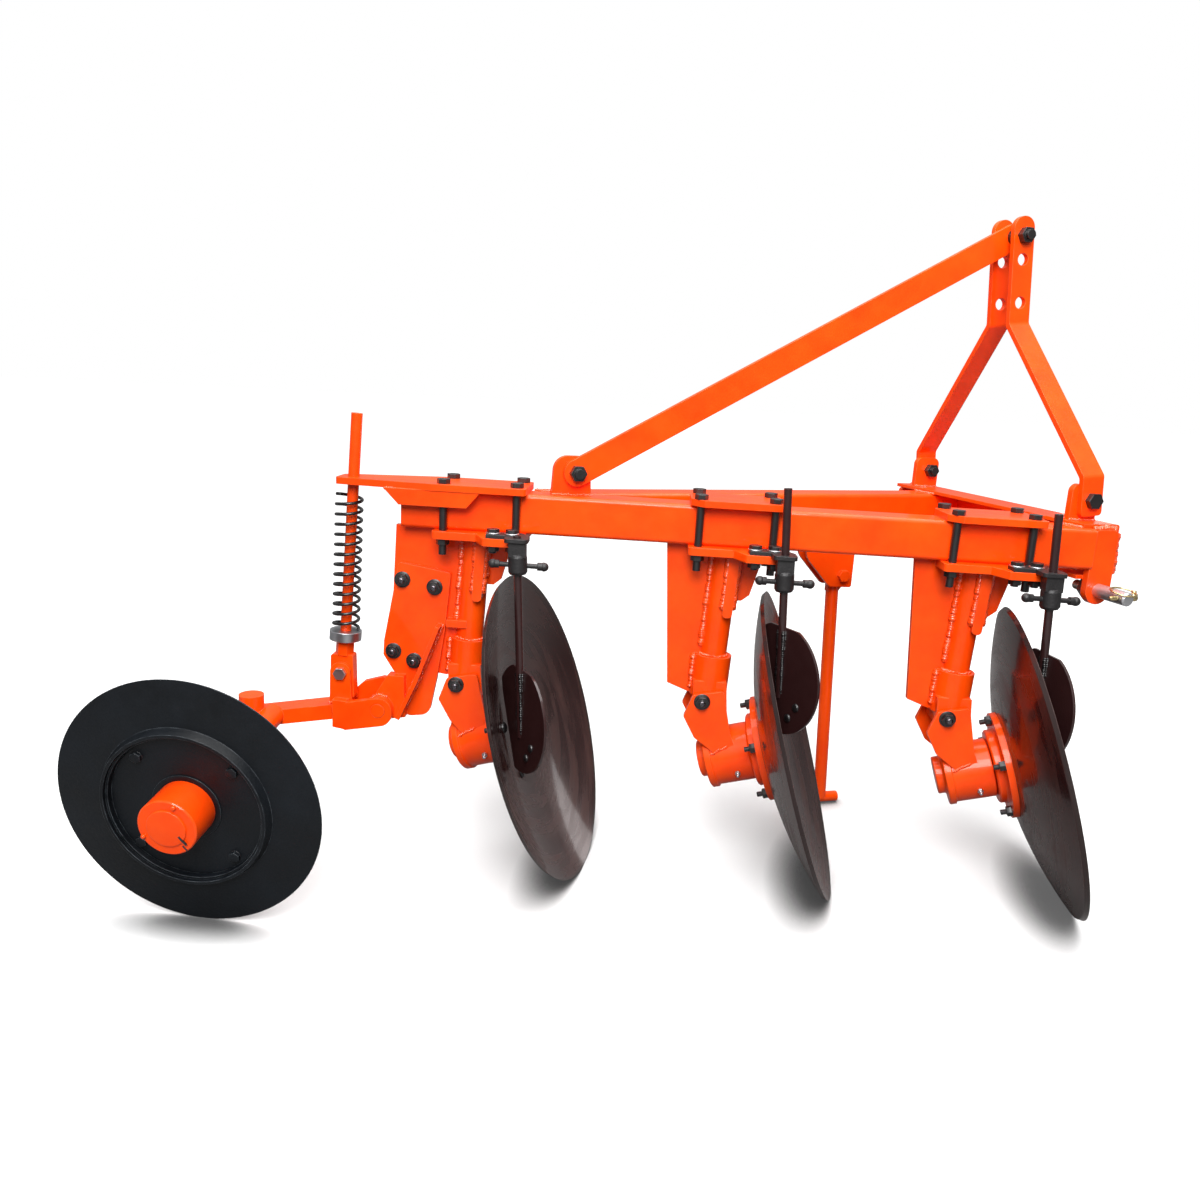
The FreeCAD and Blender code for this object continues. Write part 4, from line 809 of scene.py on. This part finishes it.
class PLOUGH_OT_hub_bolts(Operator):
    """Bolt the discs to their flanges: nuts behind, round heads in the hollow"""
    bl_idname = "plough.hub_bolts"
    bl_label = "Hub bolts"

    def execute(self, context):
        sizes = context.scene.plough_fittings
        for number in UNITS:
            joint, body = "disc_%d_spin" % number, "disc_body_%d" % number
            axis = AXES[joint][1]
            angles = [360 / sizes.hub_bolts * i - 3 for i in range(sizes.hub_bolts)]
            nuts = [(about(joint, FLANGE_BACK, sizes.hub_bolt_circle, a), -axis, a) for a in angles]
            merged(twins(nut_with_end(sizes.nut_across, sizes.nut_across * 0.3, 0.011), nuts),
                   "hub_nuts_%d" % number, "black_bolt", body)
            head = cylinder(sizes.nut_across * 0.62, -0.001, 0.002, 20)
            pick_end(head)
            push(0.0022, 0.86)
            push(0.0014, 0.62)
            heads = [(about(joint, DISC_FLAT_FRONT, sizes.hub_bolt_circle, a), axis, 0) for a in angles]
            merged(twins(head, heads), "disc_bolt_heads_%d" % number, "black_bolt", body, 50)
        return {"FINISHED"}


class PLOUGH_OT_nut_washers(Operator):
    """Put round washers under the nuts of the wheel's bracket and the hubs, and finish the bolts' ends"""
    bl_idname = "plough.nut_washers"
    bl_label = "Nut washers"

    def execute(self, context):
        sizes = context.scene.plough_fittings
        outward = turned((0, -1, 0))
        nuts = [(x, BRACKET_FACE, z, BRACKET_BOLT_OUT) for x, z in BRACKET_BOLTS]
        nuts += [(unit_x + TILT_BOLT[0], CHEEK_FACE, TILT_BOLT[1], TILT_BOLT_OUT) for unit_x in UNIT_X]
        seats = [from_beam(x, -face, BEAM_FLOOR + z) for x, face, z, _ in nuts]
        washer = cylinder(sizes.nut_washer_radius, -0.0002, 0.0020, 32)
        pick_end(washer)
        push(0.0007, 0.94)
        merged(twins(washer, [(seat, outward, 0) for seat in seats]), "nut_washers", "black_bolt")
        tip = cylinder(0.0068, -0.0010, 0.0006, 20)
        pick_end(tip)
        push(0.0010, 0.84)
        push(0.0004, 0.6)
        tips = [(seat + outward * nut[3] / 1000, outward, 0) for seat, nut in zip(seats, nuts)]
        merged(twins(tip, tips), "bolt_tips", "worn_bolt", smooth=50)
        return {"FINISHED"}


class PLOUGH_OT_wheel_fittings(Operator):
    """Bolt the furrow wheel's plate and finish the cap of its hub"""
    bl_idname = "plough.wheel_fittings"
    bl_label = "Wheel fittings"

    def execute(self, context):
        sizes = context.scene.plough_fittings
        middle, axis = AXES["wheel_spin"]
        seats = [(about("wheel_spin", -WHEEL_FACE, WHEEL_BOLT_CIRCLE, a), axis, i)
                 for i, a in enumerate(WHEEL_BOLT_TURNS)]
        merged(twins(hex_head(sizes.nut_across, 0.008), seats), "wheel_plate_bolts", "black_wheel",
               "wheel_body")
        ends = [(about("wheel_spin", -WHEEL_NUTS, WHEEL_BOLT_CIRCLE, a), -axis, i)
                for i, a in enumerate(WHEEL_BOLT_TURNS)]
        merged(twins(nut_with_end(sizes.nut_across, 0.005, 0.008), ends), "wheel_plate_nuts", "black_bolt",
               "wheel_body")
        collar = cylinder(COLLAR_R, WHEEL_FACE - 0.001, WHEEL_FACE + 0.0022, 56)
        pick_end(collar)
        push(0.0008, 0.97)
        push(-0.0012, 0.9)
        seated(collar, middle, axis)
        merged([collar], "wheel_hub_collar", "black_wheel", "wheel_body")
        cap = cylinder(CAP_R, WHEEL_HUB_END - 0.002, WHEEL_HUB_END + 0.0008, 40)
        pick_end(cap)
        push(0.0022, 0.97)
        push(0.0004, 0.9)
        seated(cap, middle, axis)
        pegs = [peg(angle) for angle in PEG_TURNS]
        merged([cap] + pegs, "wheel_hub_cap", "orange_paint", "wheel_body")
        merged(split_pin(), "wheel_hub_split_pin", "black_bolt", "wheel_body")
        return {"FINISHED"}


class PLOUGH_OT_scraper_fittings(Operator):
    """Fit the scrapers' plated washers, blade bolts and the balls on their handles"""
    bl_idname = "plough.scraper_fittings"
    bl_label = "Scraper fittings"

    def execute(self, context):
        sizes = context.scene.plough_fittings
        washer = cylinder(sizes.washer_radius, 0, 0.0016, 28)
        pick_end(washer)
        push(0.0006, 0.94)
        seats = [(from_beam(unit_x + along, PAD_BOLT_Y, BEAM_FLOOR + PAD_TOP), (0, 0, 1), 0)
                 for unit_x in UNIT_X for along in PAD_BOLTS]
        merged(twins(washer, seats), "scraper_washers", "zinc_plate")
        head = cylinder(0.0085, -0.001, 0.0015, 18)
        pick_end(head)
        push(0.0018, 0.85)
        push(0.001, 0.6)
        seats = []
        for number in UNITS:
            middle, across, face = blade_place(number)
            for u, v in BLADE_BOLTS:
                spot = middle + across * u + Vector((0, 0, v)) + face * BLADE_FACE
                seats.append((from_beam(*spot), turned(face), 0))
        merged(twins(head, seats), "scraper_blade_bolts", "black_bolt", smooth=50)
        ball = fresh(bpy.ops.mesh.primitive_uv_sphere_add, segments=18, ring_count=12,
                     radius=sizes.ball_radius)
        seats = []
        for unit_x in UNIT_X:
            core = on_scraper_rod(unit_x, HANDLE_Z)
            for x in HANDLE_ENDS:
                reach = Vector([x * share for share in HANDLE_LINE])
                seats.append((from_beam(*(core + reach * 0.97)), turned(reach), 0))
        merged(twins(ball, seats), "scraper_handle_balls", "black_casting", smooth=60)
        return {"FINISHED"}


class PLOUGH_OT_linch_pins(Operator):
    """Put a sprung linch pin through each hitch pin"""
    bl_idname = "plough.linch_pins"
    bl_label = "Linch pins"

    def execute(self, context):
        sizes = context.scene.plough_fittings
        made = []
        for side, face, lean, lift in ((-1, PLATE_OUT[0], 9.5, 0.012), (1, PLATE_OUT[1], 56, 0)):
            hole = from_travel(HITCH_X, face + side * LINCH_OUT, HITCH_Z)
            pin = cylinder(0.0044, -0.027, 0.021, 16)
            pick_end(pin, -1)
            push(-0.004, 0.6)
            pick_end(pin)
            push(0.001, 1.5)
            push(0.009)
            push(0.0015, 0.8)
            made.append(seated(pin, hole, (1, 0, 0)))
            loop = fresh(bpy.ops.mesh.primitive_torus_add, major_segments=40, minor_segments=8,
                         major_radius=sizes.ring_radius, minor_radius=0.0018, location=(0, 0, 0))
            upright = Vector((0, side * math.sin(math.radians(lean)), math.cos(math.radians(lean))))
            made.append(seated(loop, hole + Vector((0, 0, lift)), upright))
            lug = cylinder(0.0046, -0.006, lift + 0.0015, 16)
            pick_end(lug)
            push(0.0016, 0.7)
            made.append(seated(lug, hole + Vector((0.0255, 0, 0)), (0, 0, 1)))
        merged(made, "linch_pins", "yellow_zinc", smooth=50)
        nuts, ends = [], []
        for inner, inward in zip(PLATE_IN, (1, -1)):
            nuts.append((from_travel(HITCH_X, inner, HITCH_Z), (0, inward, 0), 0.3))
            ends.append((from_travel(HITCH_X, inner + inward * 20, HITCH_Z), (0, inward, 0), 0))
        merged(twins(hex_head(0.040, 0.0205), nuts), "hitch_pin_nuts", "black_bolt")
        merged(twins(threaded(0.0104, 0, 0.0255), ends), "hitch_pin_threads", "yellow_zinc")
        return {"FINISHED"}


class PLOUGH_OT_grease_nipples(Operator):
    """Screw a grease nipple into each hub's housing"""
    bl_idname = "plough.grease_nipples"
    bl_label = "Grease nipples"

    def execute(self, context):
        along = HOUSING_FRONT + 0.034
        made = []
        for number in UNITS:
            joint = "disc_%d_spin" % number
            spot = about(joint, along, HOUSING_R, 114)
            out = spot - about(joint, along, 0, 0)
            base = hex_head(0.011, 0.005)
            nipple = cylinder(0.0028, 0.0045, 0.008, 12)
            pick_end(nipple)
            push(0.001, 1.35)
            push(0.002)
            push(0.002, 0.5)
            made += [seated(base, spot, out), seated(nipple, spot, out)]
        merged(made, "grease_nipples", "zinc_plate")
        return {"FINISHED"}


class PLOUGH_OT_stage(Operator):
    """Set the plain pale floor, soft light and the camera"""
    bl_idname = "plough.stage"
    bl_label = "Stage"

    def execute(self, context):
        look = context.scene.plough_stage
        floor = fresh(bpy.ops.mesh.primitive_plane_add, size=60, location=(0, 0, -0.0005))
        floor.name = "floor"
        floor.data.materials.append(floor_finish(look))
        white_world(context.scene, look)
        for name, power, place, aim, size in SOFT_BOXES:
            settle()
            bpy.ops.object.light_add(type="AREA", location=place)
            lamp = context.object
            lamp.name = name
            lamp.data.size = size
            lamp.data.energy = getattr(look, power)
            lamp.visible_camera = False
            lamp.rotation_euler = (Vector(aim) - Vector(place)).to_track_quat("-Z", "Y").to_euler()
        settle()
        bpy.ops.object.camera_add(location=from_travel(*CAMERA_PLACE))
        camera = context.object
        axes = Matrix((CAMERA_RIGHT, CAMERA_UP, CAMERA_RIGHT.cross(CAMERA_UP))).transposed()
        camera.rotation_euler = axes.to_euler()
        camera.data.lens = CAMERA_LENS
        camera.data.sensor_width = 36
        camera.data.clip_start = 0.02
        context.scene.camera = camera
        context.scene.view_settings.view_transform = "Standard"
        return {"FINISHED"}


# ---------------------------------------------------------------- panel and start
STEPS = (PLOUGH_OT_paint, PLOUGH_OT_welds, PLOUGH_OT_hub_bolts, PLOUGH_OT_nut_washers,
         PLOUGH_OT_wheel_fittings, PLOUGH_OT_scraper_fittings, PLOUGH_OT_linch_pins,
         PLOUGH_OT_grease_nipples, PLOUGH_OT_stage)
SETTINGS = {"plough_paint": PloughPaint, "plough_fittings": PloughFittings, "plough_welds": PloughWelds,
            "plough_stage": PloughStage}


class PLOUGH_PT_sidebar(Panel):
    """The plough's finishing steps and their settings"""
    bl_idname = "PLOUGH_PT_sidebar"
    bl_label = "Disc plough"
    bl_space_type = "VIEW_3D"
    bl_region_type = "UI"
    bl_category = "Plough"

    def draw(self, context):
        for name, kind in SETTINGS.items():
            box = self.layout.box()
            for label in kind.__annotations__:
                box.prop(getattr(context.scene, name), label)
        for step in STEPS:
            self.layout.operator(step.bl_idname)


def register():
    """Adds the settings, the steps and the panel."""
    for kind in (*SETTINGS.values(), *STEPS, PLOUGH_PT_sidebar):
        bpy.utils.register_class(kind)
    for name, kind in SETTINGS.items():
        setattr(bpy.types.Scene, name, PointerProperty(type=kind))


def unregister():
    """Takes them away again."""
    for name in SETTINGS:
        delattr(bpy.types.Scene, name)
    for kind in (PLOUGH_PT_sidebar, *reversed(STEPS), *SETTINGS.values()):
        bpy.utils.unregister_class(kind)


def main():
    """Dresses the plough step by step."""
    register()
    bpy.ops.plough.paint()
    bpy.ops.plough.welds()
    bpy.ops.plough.hub_bolts()
    bpy.ops.plough.nut_washers()
    bpy.ops.plough.wheel_fittings()
    bpy.ops.plough.scraper_fittings()
    bpy.ops.plough.linch_pins()
    bpy.ops.plough.grease_nipples()
    bpy.ops.plough.stage()


if __name__ == "__main__":
    main()
